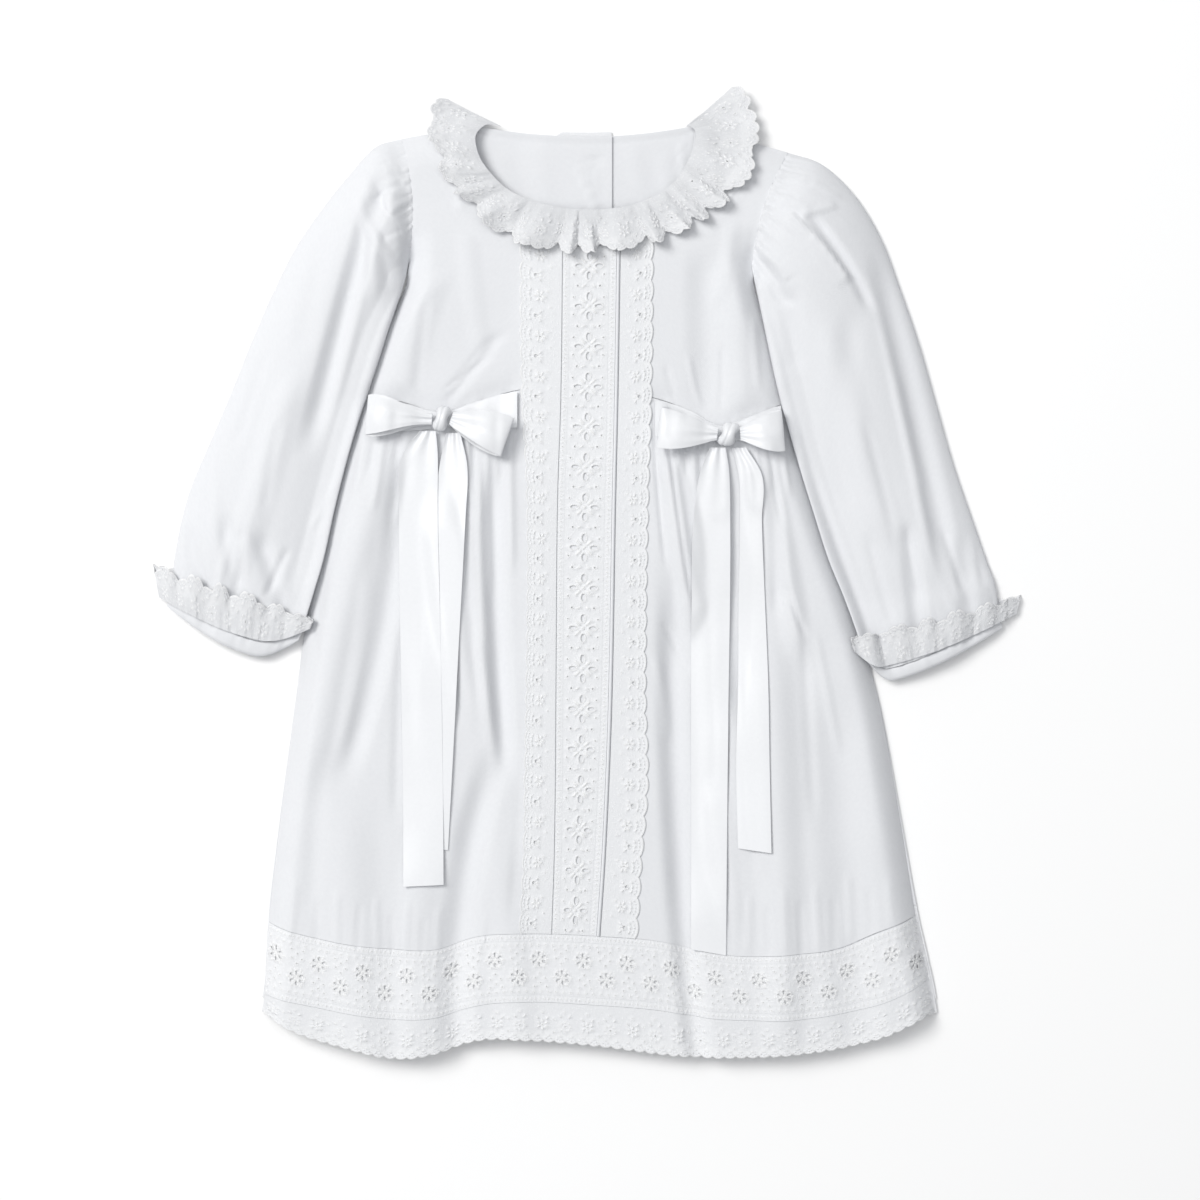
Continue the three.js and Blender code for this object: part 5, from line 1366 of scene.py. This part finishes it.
# %% Tables of the sleeves
SECTION = "a_x a_y b_x b_y bow peak rise"
SLEEVES = {
    "left": table(
        SECTION,
        (-107.3, 250, -103.3, 179, -4, 0.5, 8), (-123, 245, -106, 166, -2, 0.5, 16),
        (-138, 229, -110, 153, 0, 0.5, 17), (-154, 209, -115, 138, 0, 0.5, 16),
        (-169.5, 186, -120, 122, 0, 0.5, 15), (-183, 159, -126, 104, 0, 0.5, 14),
        (-195.5, 130, -132.5, 84, 0, 0.5, 13), (-207.5, 100, -139, 62, 0, 0.5, 12),
        (-220, 71, -145.5, 36, 1, 0.6, 12), (-231, 44, -151.5, 8, 3, 0.65, 12),
        (-237.5, 16, -158, -14, 7, 0.7, 10), (-241.5, -13, -164, -33, 14, 0.7, 6)),
    "right": table(
        SECTION,
        (116.3, 242, 95.3, 175, -4, 0.5, 8), (136, 235, 98, 160, -2, 0.5, 16),
        (155, 217, 101, 145, 0, 0.5, 18), (170, 192, 104.5, 128, 0, 0.5, 17),
        (181, 163, 109, 107, 0, 0.5, 15), (192, 131, 115, 84, 0, 0.5, 14),
        (202, 96, 122, 60, 0, 0.5, 13), (212, 61, 130, 34, 0, 0.5, 12),
        (223, 29, 138.5, 7, 1, 0.6, 12), (231, 6, 147.5, -15, 4, 0.7, 11),
        (236, -9, 153, -30, 8, 0.8, 9), (238.5, -26, 158.5, -46, 14, 0.85, 6)),
}
SLEEVE_FOLDS = table(
    FOLD_COLUMNS,
    (240, 60, -114, -139, -163, 10, -5), (232, 150, -128, -124, -120, 8, 2.5),
    (120, -10, -168, -186, -206, 14, 2.5), (30, -40, -232, -224, -218, 8, -2.5),
    (35, -40, -209, -203, -197, 8, -3), (25, -40, -190, -180, -172, 8, -3),
    (196, -10, 164, 189, 210, 11, -5), (208, 146, 124, 148, 164, 6, -3),
    (182, 150, 97, 106, 117, 8, -3), (70, -60, 121, 145, 172, 9, -4.5),
    (150, 10, 134, 152, 174, 16, 2.5), (30, -50, 182, 188, 192, 8, -3),
    (25, -50, 216, 219, 222, 8, -2.5),
    # finer creases of the right sleeve
    (184, 163, 96, 104, 112, 2.4, -1.6),
    (165, 112, 117, 118, 121, 9, -1.6),
    (165, -12, 164, 184, 201, 5, 1.2), (158, 28, 155, 146, 152, 12, -1.0),
    (120, 40, 176, 184, 196, 6, 0.9), (90, 0, 158, 170, 180, 5, -0.9),
    (30, -22, 184, 188, 193, 4, -1.2), (26, -14, 205, 211, 217, 4, -1.3),
    (20, -12, 226, 227, 229, 4, -1.2), (24, -34, 161, 168, 177, 5, -1.3),
    # finer creases of the left sleeve
    (130, 68, -184, -194, -204, 6, -0.9), (54, 22, -143, -151, -160, 4, 1.2),
    (50, 4, -228, -229, -230, 5, -1.2), (26, -12, -199, -199, -200, 4, -1.3),
    (14, -18, -172, -179, -187, 4, -1.6), (222, 176, -133, -127, -110, 6, 1.4),
    (200, 120, -150, -158, -166, 10, -0.9), (170, 90, -130, -138, -146, 7, 1.0),
    (110, 10, -224, -216, -214, 6, 0.9), (90, 30, -176, -182, -186, 5, -0.8))
CAP_LINES = table(
    LINE_COLUMNS,
    (129, 193, 152, 165.5, 3.2), (115, 206, 132, 189, 2.2), (144.5, 210, 121.5, 202.5, 1.8),
    (129, 205, 111, 211, 1.2), (118, 211.5, 103, 215.5, 0.9), (147, 214.5, 127, 223.5, 1.1),
    (128, 223, 106, 228, 1.0), (115, 166, 109, 176, 1.4), (110, 174.5, 99, 183, 1.3),
    (107, 192.5, 99, 191, 1.0), (124, 232, 111, 236, 0.8),
    (-113, 236, -134, 228, -1.0), (-105, 224, -121, 215, -2.0), (-120, 217, -115, 203, -1.8),
    (-101, 214, -114, 204, 1.7), (-106, 196, -118, 190, -1.0), (-112, 243, -128, 240, 0.9),
    (-108, 231, -117, 229, 1.0))
# the places (a_x, a_y, b_x, b_y, bow, peak) of the cuff's own end and of the two edges of its ruffle
CUFFS = {
    "left": {"end": (-243.5, -20.5, -166.5, -40, 15.5, 0.7), "root": (-248, -15.5, -159.5, -33.5, 12.5, 0.7),
             "edge": (-251.5, 4, -157.5, -28, -3.5, 0.5)},
    "right": {"end": (240.5, -33, 161.5, -53, 14, 0.85), "root": (248.5, -25, 153, -46, 13, 0.85),
              "edge": (251, -14, 151.5, -38.5, -1.5, 0.4)},
}
print("creases of the sleeves:", len(SLEEVE_FOLDS["top"]))

# %% [markdown]
# The tube is a ring of points at each section, closed at both sides by a narrow edge. Most of
# the points lie on the upper side, where the creases are. The first ring lies on the seam of the
# armhole, just below the top of the front, so that no gap opens there.

# %% Tubes laid flat
# seed, pitch, reach and height of the pleats that run out of each gathered seam
PLEATS = {"left cap": (41, 7, 9, 1.0), "right cap": (46, 4.8, 9, 3.0), "left wrist": (43, 8, 15, 1.8),
          "right wrist": (44, 8, 15, 1.8), "cuff ruffle": (66, 4.6, 7, 1.1), "neck ruffle": (71, 4.2, 9, 1.5)}
SLEEVE_CLEARANCE = 0.4
UPPER_SHARE = 0.68
SLEEVE_EDGE = 1.8
CUFF_LIFT = 1.6
BELOW_SEAM, IN_SEAM = 0.45, {"left": 0.35, "right": -0.35}
# rough width of the sleeve, and rough length between its sections, near its two ends
CAP_ACROSS, CAP_STEP = 92, 14
WRIST_ACROSS, WRIST_STEP = 88, 21
LAST_ROW = 11
for rows in SLEEVES.values():
    rows["row"] = np.arange(LAST_ROW + 1.)


def chord(section, t):
    a_x, a_y, b_x, b_y, bow, peak = section[:6]
    return bowed(a_x, a_y, b_x, b_y, np.where(a_x < b_x, bow, -bow), peak, t)


def sleeve_rest(x, y):
    rest = lie(x, y, BRIDGES["sleeve"]) * smooth(underarm_y(x) - y, 3, 14)
    return rest + np.minimum(rest, SLEEVE_CLEARANCE)


def tube_places(grid):
    """Places on a flattened tube: how far across each is, whether it is on top, and how far down."""
    columns, rows = GRIDS[grid]
    turn = np.arange(columns)[None, :] / columns
    is_top = turn < UPPER_SHARE
    t = np.where(is_top, (1 - np.cos(np.pi * turn / UPPER_SHARE)) / 2,
                 1 - (np.maximum(turn - UPPER_SHARE, 0) / (1 - UPPER_SHARE)) ** 1.5)
    return t, is_top, grid_places(columns, rows)[1]


def sleeve_section(side, s):
    return [read(SLEEVES[side], "row", name, s) for name in SECTION.split()]


def puff_height(section, t, lift=CUFF_LIFT):
    """Heights of the underside and of the top of a section."""
    x, y = chord(section, t)
    low = sleeve_rest(x, y) + lift
    creases = fold_height(SLEEVE_FOLDS, x, y) + line_height(CAP_LINES, x, y, 1.3, 3.5)
    rise = section[6] + creases
    return low, low + SLEEVE_EDGE + np.sin(np.pi * t) ** 0.62 * np.maximum(rise + 1, 1.5)


def sleeve_points(side):
    t, is_top, v = tube_places("sleeve")
    s, t = np.broadcast_arrays(LAST_ROW * v ** 1.05, t)
    section = sleeve_section(side, s)
    x, y = chord(section, t)
    low, high = puff_height(section, t, CUFF_LIFT * smooth(s, 9, 10))
    seam_x, seam_y = armhole(side, 1 - t)
    at_seam = front_top(seam_x, seam_y)
    from_seam = np.sin(np.pi / 2 * np.clip(s, 0, 1)) ** 0.8
    high = np.where(s < 1, lerp(at_seam - BELOW_SEAM, high, from_seam), high)
    sewn = (1 - smooth(s, 0, 0.12)) * is_top
    x, y = lerp(x, seam_x + IN_SEAM[side], sewn), lerp(y, seam_y, sewn)
    # gathers at the cap run out from the armhole, and at the wrist up from the cuff
    from_cap, from_cuff = CAP_STEP * s, WRIST_STEP * (LAST_ROW - s)
    cap = pleats(CAP_ACROSS * t + 4 * s, from_cap, *PLEATS[f"{side} cap"])
    wrist = pleats(WRIST_ACROSS * t - 2 * (LAST_ROW - s), from_cuff, *PLEATS[f"{side} wrist"])
    fine = puckers(CAP_ACROSS * t, from_cap, *PUCKERS["cap"])
    fade = np.sin(np.pi * t) ** 0.5
    gathers = (cap + fine) * smooth(from_cap, 0, 1.2) + wrist
    high = high + gathers * fade + waves(x, y, *WAVES["sleeve"]) * fade
    return np.stack([x, y, np.where(is_top, high, low)], -1)


print("points of a sleeve:", sleeve_points("left").shape)

# %% [markdown]
# ## Cuffs
#
# A cuff is a narrow rolled band at the end of the sleeve. It could be a bent tube of its own, but
# it has to meet the sleeve all round, so it is one more stretch of the same flattened tube, with
# a roll added to its upper side.

# %% Cuffs
CUFF_ACROSS, CUFF_DEPTH = 90, 9
CUFF_ROLL, CUFF_TURN_IN = 0.9, 0.8


def cuff_points(side):
    t, is_top, v = tube_places("cuff")
    end = (*CUFFS[side]["end"], 5)
    section = [lerp(a, b, v) for a, b in zip(sleeve_section(side, LAST_ROW), end)]
    for k in (1, 3):
        section[k] = section[k] - 1.3 * SEAM * (1 - v)
    *section, t = np.broadcast_arrays(*section, t)
    x, y = chord(section, t)
    low, high = puff_height(section, t)
    roll = CUFF_ROLL * np.sin(np.pi * v) ** 0.6 - CUFF_TURN_IN * smooth(v, 0.85, 1)
    fine = (puckers(CUFF_ACROSS * t, CUFF_DEPTH * v, *PUCKERS["cuff top"])
            + puckers(CUFF_ACROSS * t, CUFF_DEPTH * (1 - v), *PUCKERS["cuff end"]))
    return np.stack([x, y, np.where(is_top, high + (roll + fine) * np.sin(np.pi * t) ** 0.5, low)], -1)


print("points of a cuff:", cuff_points("left").shape)

# %% [markdown]
# The lace sewn into the seam of the cuff is turned up over the sleeve, and its full edge makes
# soft, uneven flutes. Their places are given as shares of the way across.

# %% Ruffles of the cuffs
FLUTES = {"left": (0, 0.17, 0.36, 0.5, 0.7, 0.86, 1), "right": (0, 0.13, 0.3, 0.49, 0.63, 0.83, 1)}
FLUTE_HEIGHT, FLUTE_DIP = 3.0, 0.2
FRILL_ACROSS, FRILL_DEPTH, FRILL_CLEARANCE = 92, 15, 1.3


def flute_wave(flutes, t):
    phase = np.interp(t, flutes, np.arange(len(flutes)))
    return (1 - np.cos(2 * np.pi * phase)) / 2


def ruffle_tube(side):
    """The surface of a cuff ruffle: u from its sewn edge to its free edge, w round the tube."""
    wrist, near = sleeve_section(side, LAST_ROW), sleeve_section(side, LAST_ROW - 1)
    root, edge = CUFFS[side]["root"], CUFFS[side]["edge"]

    def surface(u, w):
        t = (1 - np.cos(2 * np.pi * w)) / 2
        is_top = np.mod(w, 1) < 0.5
        reach = u * (1 - FLUTE_DIP * (1 - flute_wave(FLUTES[side], t)) * is_top)
        section = [lerp(a, b, reach) for a, b in zip(root, edge)]
        overlap = [(section[k] - wrist[0]) / (wrist[2] - wrist[0]) for k in (0, 2)]
        x, y = chord(section, t)
        low = sleeve_rest(x, y) + SHELL
        place = lerp(overlap[0], overlap[1], t)

        def sleeve_top(shift):
            across = np.clip(place + shift, 0, 1)
            here = puff_height(wrist, across)[1]
            return np.maximum(here, lerp(here, puff_height(near, across)[1], u))

        cover = np.maximum.reduce([sleeve_top(shift) for shift in (-0.05, 0, 0.05)]) + FRILL_CLEARANCE
        beyond = np.maximum.reduce([place / overlap[0], (place - 1) / (overlap[1] - 1), 0 * place])
        base = lerp(cover, low + FOLD_EDGE, np.minimum(beyond, 1) ** 2)
        inside = np.minimum(1, 8 * np.minimum(t, 1 - t))
        high = base + FLUTE_HEIGHT * flute_wave(FLUTES[side], t) * (lerp(0.2, 1, u) * inside)
        high = high + pleats(FRILL_ACROSS * t, FRILL_DEPTH * u, *PLEATS["cuff ruffle"]) * inside
        return np.stack([x, y, np.where(is_top, high, low)], -1)
    return surface


print("flutes of a ruffle:", len(FLUTES["left"]) - 1)

# %% [markdown]
# The strip of lace is laid along a ruffle by its own length, so that its motifs keep their
# spacing where the ruffle bends. The relief of the stitches goes out along the normal of the
# ruffle. Each cuff is a trim with no sheet of its own, and it is made before its sleeve.

# %% Sleeves, cuffs and ruffles
LENGTH_PLACES = 900
STEP_OUT, STEP_ALONG = 0.03, 0.002


def along_length(surface, level, closed):
    """The run of a surface at one level, and its places by length."""
    w = np.linspace(0, 1, LENGTH_PLACES)
    steps = np.linalg.norm(np.diff(surface(np.full(LENGTH_PLACES, level), w), axis=0), axis=1)
    run = np.concatenate([[0], np.cumsum(steps)])
    return run[-1], lambda v: np.interp(np.mod(v, 1.0 + 1e-9) if closed else v, run / run[-1], w)


def laid_out(surface, by_length, sign=1):
    """A surface with a third argument: the distance out along its normal."""
    def place(u, v, out):
        w = by_length(v)
        du = surface(np.minimum(u + STEP_OUT, 1), w) - surface(np.maximum(u - STEP_OUT, 0), w)
        dw = surface(u, w + STEP_ALONG) - surface(u, w - STEP_ALONG)
        normal = np.cross(du, dw)
        normal /= np.linalg.norm(normal, axis=-1, keepdims=True) + 1e-9
        return surface(u, w) + sign * normal * np.asarray(out)[..., None]
    return place


for side in SIDES:
    cuff = grid_piece(f"cuff_{side}", cuff_points(side), "cotton", None,
                      is_ring=True, flip=side == "left")
    grid_piece(f"sleeve_{side}", sleeve_points(side), "cotton", "gathered",
               is_ring=True, flip=side == "left")
    surface = ruffle_tube(side)
    run, by_length = along_length(surface, 0.6, closed=True)
    sign = -1 if side == "left" else 1
    strip_piece(f"cuff_ruffle_{side}", "narrow_edging", laid_out(surface, by_length, sign), run,
                finish="lace", held="gathered", flip=side == "left")
    print(f"{side} cuff ruffle, length in mm:", round(run))

# %% [markdown]
# ## The neck ruffle
#
# The neck ruffle is gathered lace. Its full edge falls in lobes of very different widths, with
# narrow gaps between them, and it fans out flat over the shoulders. One even wave would look
# like a paper frill, so the gaps are given one by one, in rows of the table. Between two gaps the
# cloth swells up and leans sideways, so that each gap is steep.

# %% Neck ruffle
NECK_RUFFLE = table(
    "row root_x root_y edge_x edge_y stand",
    (0, -50, 256.5, -86, 275, 6), (1, -59, 257, -91, 267, 6), (2, -64.5, 250, -92.5, 254, 4),
    (3, -62, 238, -88, 239, 2), (4, -55, 228, -83, 222, 1), (5, -46, 219.5, -66, 206, 1),
    (6, -33, 213, -48, 189.5, 1), (7, -15, 208.5, -23, 182.5, 1), (8, 1, 207.5, 3, 181.5, 1),
    (9, 18, 208.5, 26, 185, 1), (10, 34, 212.5, 48, 190, 1), (11, 47, 220.5, 68, 201, 1),
    (12, 55.5, 231, 84, 213, 2), (13, 61, 243, 96, 230, 3), (14, 62.5, 252, 99.5, 252, 5),
    (15, 60, 256, 95.5, 270, 7), (16, 57, 256.5, 87, 282, 7))
RUFFLE_LOBES = table(
    "gap swell lean",
    (0, 1.2, 0), (1.5, 1.8, 0.1), (3.1, 2.8, -0.2), (4.2, 5.5, 0.3), (4.9, 7, 0.35), (6.05, 8.5, 0.45),
    (7.2, 9, 0.4), (7.65, 6, -0.3), (8.2, 8, -0.45), (9.45, 7.5, 0.4), (10.0, 8, 0.35),
    (10.8, 7.5, -0.4), (11.3, 8, 0.35), (12.1, 6, -0.3), (13.5, 3.2, 0.2), (14.9, 1.8, 0), (16, 1.2, 0))
RUFFLE_STEP, RUFFLE_DEPTH = 16, 28
LOBE_SPACING = 24
GAP_DEPTH = 0.24
FULL_SWELL = 5
LEAN, SWAY = 0.45, 0.09


def neck_ruffle(u, w):
    row = NECK_RUFFLE["row"][-1] * np.clip(w, 0, 1)
    at = {name: read(NECK_RUFFLE, "row", name, row) for name in NECK_RUFFLE}
    gaps, swells = RUFFLE_LOBES["gap"], RUFFLE_LOBES["swell"]
    phase = 2 * np.pi * np.interp(row, gaps, np.arange(len(gaps)))
    middles = (gaps[1:] + gaps[:-1]) / 2
    swell, tilt, lobe = (np.interp(row, middles, values) for values in (
        swells[1:], RUFFLE_LOBES["lean"][1:], LOBE_SPACING * np.diff(gaps)))
    wave = np.abs(np.sin(phase / 2)) ** 1.1
    out_x, out_y = at["edge_x"] - at["root_x"], at["edge_y"] - at["root_y"]
    depth = np.hypot(out_x, out_y)
    fullness = np.minimum(swell / FULL_SWELL, 1)
    reach = u * (1 - GAP_DEPTH * fullness * (1 - wave) ** 3)
    lean = (LEAN * tilt * wave - SWAY * np.sin(phase)) * fullness * lobe * u ** 1.1 / depth
    x = at["root_x"] + out_x * reach + out_y * lean
    y = at["root_y"] + out_y * reach - out_x * lean
    gather = pleats(RUFFLE_STEP * row, RUFFLE_DEPTH * u, *PLEATS["neck ruffle"])
    stand = u ** 1.25 * (swell * wave + at["stand"])
    z = lie(x, y, BRIDGES["ruffle"]) + AIR + 0.9 + stand + gather * smooth(u, 0, 0.15)
    return np.stack([x, y, z], -1)


run, by_length = along_length(neck_ruffle, 0.65, closed=False)
strip_piece("neck_ruffle", "fine_edging", laid_out(neck_ruffle, by_length), run,
            finish="lace", held="gathered")
print("neck ruffle, length of lace in mm:", round(run))

# %% [markdown]
# Behind the neck the ruffle is turned under, between the back and the floor. Only its folded
# end stands above the neck edge, beside the placket.

# %% Ruffle behind the neck
BACK_RUFFLE_ENDS = {"left": (-50, PLACKET_EDGE - SEAM), "right": (PLACKET_EDGE + SEAM, 58)}
BACK_RUFFLE_PEEK, BACK_RUFFLE_HEIGHT = 3.2, 1.1


def back_ruffle(side):
    from_x, to_x = BACK_RUFFLE_ENDS[side]

    def surface(u, v, out):
        x = lerp(from_x, to_x, v)
        peek = BACK_RUFFLE_PEEK * smooth(x, -20, -14) * (x < PLACKET_EDGE)
        y = back_neck_y(x) - SEAM + peek - BACK_RUFFLE_DEPTH * u
        return np.stack([x, y, BACK_RUFFLE_HEIGHT + 0 * x + out], -1)
    strip_piece(f"neck_ruffle_back_{side}", "fine_edging", surface, to_x - from_x, held="folded",
                size=(BACK_RUFFLE_DEPTH, to_x - from_x))


for side in SIDES:
    back_ruffle(side)
print("sheets so far:", len(sheets))

# %% [markdown]
# ## Bows
#
# Each bow is tied from satin ribbon that is sewn into the centre seam and the side seam. A band
# runs along the waist from each, two loops stand out from the knot, and two tails hang down
# over the skirt. The ribbon is pinched at the knot, so small pleats run out of it. A simulated
# bow would fall in a way of its own, so each part is a grid shaped by a few sizes.

# %% Tables of the bows
TAIL = "y x width layer"
# a knot is (x, y, width, length, seat), a band is (end x, top, bottom), and a loop is
# (end x, end y, tilt, spread)
BOWS = {
    "left": {
        "knot": (-83.5, 87, 10, 15, 0.15),
        "bands": {"inner": (-40.4, 103, 82), "outer": (-126, 98.5, 79)},
        "loops": {"inner": (-46, 76, 3.5, 0.5), "outer": (-126.5, 89, -5, 1.1)},
        "long": table(TAIL, (-181, -94, 23, 0.5), (-130, -94.4, 23, 0.5), (-75, -95.2, 23, 0.5),
                      (-17, -96.3, 23, 0.5), (40, -97, 22, 0.5), (67, -96, 20, 1.2), (80, -91.5, 9, 1.7)),
        "short": table(TAIL, (-160, -91, 22, 0.5), (-104, -88, 22, 1.1), (-28, -83.5, 21, 0.8),
                       (30, -79.5, 19, 0.5), (60, -77, 16, 1.2), (79, -77, 8, 1.7))},
    "right": {
        "knot": (81, 78, 12, 14, 0.05),
        "bands": {"inner": (39, 98, 77), "outer": (111.5, 95, 76)},
        "loops": {"inner": (41.2, 82, 4, 0.6), "outer": (112, 80, -3.5, 0.6)},
        "long": table(TAIL, (-219.5, 69.6, 20, 0.5), (-150, 70, 20.5, 0.5), (-75, 70.4, 21.5, 0.5),
                      (-17, 71, 22, 0.5), (29, 71.6, 21, 0.5), (58, 73.4, 16, 1.2), (70.5, 75, 9, 1.7)),
        "short": table(TAIL, (-161, 96, 19, 0.5), (-110, 95, 19, 0.5), (-63, 95.2, 17, 0.5),
                       (-17, 94.5, 15, 0.5), (28, 94, 12.5, 0.6), (55, 93.5, 13, 1.2), (70.5, 87, 8, 1.7))},
}
RIBBON_SHELL = 0.4
BOW_LAYER, LOOP_RISE, LOOP_KNOT, LOOP_END = 4.4, 8, 7, 23
KNOT_HEIGHT = 5.4
KNOT_UV = 35, 12
TAIL_SLANT = {"left": (1, -1.5), "right": (-3.5, -2.5)}
UPPER_TAIL, TAIL_OVER = ("left", "long"), 0.9
LOOP_CROWN, LOOP_TWIST = 1.3, 0.5
GROOVE_DEPTH, GROOVE_WIDTH = 0.07, 0.16
PLEAT_HEIGHT = {"loop": 0.55, "band": 0.3, "tail": 0.7}
PLEAT_REACH = {"loop": 11, "tail": 16}
print("tail lengths in mm:", [round(float(np.ptp(BOWS[s][t]["y"])))
                              for s in SIDES for t in ("long", "short")])

# %% [markdown]
# A loop is a ribbon that runs out from the knot, turns over and comes back above itself. A band
# is the same ribbon drawn along the waist, narrow at the knot and wide at the seam.

# %% Loops and bands
def loop_points(knot, end_x, end_y, tilt, spread):
    heading = np.sign(end_x - knot[0])
    start = np.array([knot[0] + heading * (knot[2] / 2 + AIR + 0.2), knot[1]])
    reach = np.array([end_x, end_y]) - start
    length = np.hypot(*reach)
    along = reach / length
    w, s = grid_places(*GRIDS["loop"], -0.5, 0.5)
    out = length * np.sin(np.pi * s)
    climb = s - np.sin(2 * np.pi * s) / (2 * np.pi)
    opened = smooth(out / length, 0, 0.95) ** spread
    across = w * lerp(LOOP_KNOT, LOOP_END, opened) + tilt * (s - 0.5) * opened
    pinched = PLEAT_HEIGHT["loop"] * np.cos(2 * np.pi * (2.5 * w + 0.2)) * np.exp(-out / PLEAT_REACH["loop"])
    crown = -LOOP_CROWN * (2 * w) ** 2 * opened * smooth(s, 0.4, 0.7) + LOOP_TWIST * np.sin(5 * w + 3 * s)
    x = start[0] + along[0] * out - along[1] * across
    y = start[1] + along[1] * out + along[0] * across
    rise = LOOP_RISE * climb * (1 - 0.5 * smooth(s, 0.75, 1))
    z = lie(x, y, BRIDGES["bow"]) + BOW_LAYER + rise + pinched + crown + RIBBON
    return np.stack(np.broadcast_arrays(x, y, z), -1)


def band_points(knot, end_x, top, bottom):
    u, v = grid_places(*GRIDS["band"])
    start = knot[0] + np.sign(end_x - knot[0]) * SEAM
    opened = np.sqrt(v)
    x = lerp(start, end_x, v) + 0 * u
    y = lerp(lerp(knot[1] - 4, bottom, opened), lerp(knot[1] + 3, top, opened), u)
    y = np.minimum(y, waist_y(x) - lerp(1, 0, u))
    pinched = PLEAT_HEIGHT["band"] * np.cos(2 * np.pi * 2 * u) * np.exp(-3 * v)
    z = lie(x, y, BRIDGES["bow"]) + AIR + 0.5 + pinched
    return np.stack([x, y, z], -1)


print("points of a band:", band_points(BOWS["left"]["knot"], *BOWS["left"]["bands"]["inner"]).shape)

# %% [markdown]
# A tail hangs from under the knot. Its rows give its middle line, its width and how far it
# stands off the skirt, so it can swing, widen and cross another tail.

# %% Tails
def tail_points(rows_of, slant, is_upper):
    w, t = grid_places(*GRIDS["tail"], -0.5, 0.5)
    top = rows_of["y"][-1]
    y = lerp(rows_of["y"][0] + slant * w, top, t)
    width = read(rows_of, "y", "width", y)
    x = read(rows_of, "y", "x", y) + w * width
    pinched = PLEAT_HEIGHT["tail"] * np.cos(2 * np.pi * 2 * w + 0.8)
    pinched = pinched * np.exp(-(top - y) / PLEAT_REACH["tail"])
    over, uneven = (TAIL_OVER, "upper tail") if is_upper else (0.0, "lower tail")
    z = lie(x, y, BRIDGES["tail"]) + read(rows_of, "y", "layer", y) + 0.5 + over
    z = z + pinched + waves(x, y, *WAVES[uneven])
    return np.stack([x, y, z], -1)


print("points of a tail:", tail_points(BOWS["left"]["long"], TAIL_SLANT["left"][0], True).shape)

# %% [markdown]
# The knot is a strap of the same ribbon drawn tight round the rest. It is a barrel that is pulled
# in at both ends, with one slanting groove. A knot is too small for a sheet of its own, so it is
# a trim.

# %% Knots, and the bows tied
def knot_points(knot):
    """A strap drawn tight round the bow: a barrel with a slanting groove, pulled in at its ends."""
    x, y, width, length, seat = knot
    columns, rows = GRIDS["knot"]
    turn = 2 * np.pi * np.arange(columns)[None, :] / columns
    w = np.linspace(-1, 1, rows + 1)[:, None]
    draw_in = np.sqrt(1 - 0.8 * w ** 4) * (1 - 0.1 * w ** 2)
    groove = 1 - GROOVE_DEPTH * np.exp(-((w - 0.25 * np.cos(turn) + 0.12) / GROOVE_WIDTH) ** 2)
    base = float(lie(np.array(x), np.array(y), BRIDGES["bow"])) + AIR + RIBBON + seat + KNOT_HEIGHT
    radius = draw_in * groove
    across = x + w * width / 2 * (0.8 + 0.12 * np.cos(2 * turn)) + 0.12 * width * np.cos(turn)
    return np.stack([across, y + length / 2 * radius * np.cos(turn) * 0.97,
                     base + KNOT_HEIGHT * radius * np.sin(turn)], -1)


for side in SIDES:
    bow = BOWS[side]
    knot = bow["knot"]
    points = knot_points(knot)
    columns, rows = GRIDS["knot"]
    u, v = grid_places(columns - 1, rows)
    uv = np.stack(np.broadcast_arrays(KNOT_UV[0] * u, KNOT_UV[1] * v), -1)
    mesh = mesh_of(f"bow_{side}_knot", points.reshape(-1, 3), grid_faces(columns, rows, True),
                   uv.reshape(-1, 2))
    knot_piece = dress_piece(f"bow_{side}_knot", mesh, "satin", RIBBON_SHELL)
    for name, (end_x, end_y, tilt, spread) in bow["loops"].items():
        points = loop_points(knot, end_x, end_y, tilt, spread)
        grid_piece(f"bow_{side}_loop_{name}", points, "satin", "folded",
                   flip=end_x > knot[0], shell=RIBBON_SHELL)
    for name, (end_x, top, bottom) in bow["bands"].items():
        grid_piece(f"bow_{side}_band_{name}", band_points(knot, end_x, top, bottom), "satin", "laid",
                   flip=end_x > knot[0], shell=RIBBON_SHELL)
    for name, slant in zip(("long", "short"), TAIL_SLANT[side]):
        points = tail_points(bow[name], slant, (side, name) == UPPER_TAIL)
        grid_piece(f"bow_{side}_tail_{name}", points, "satin", "hung",
                   shell=RIBBON_SHELL)
print("sheets in all:", len(sheets))
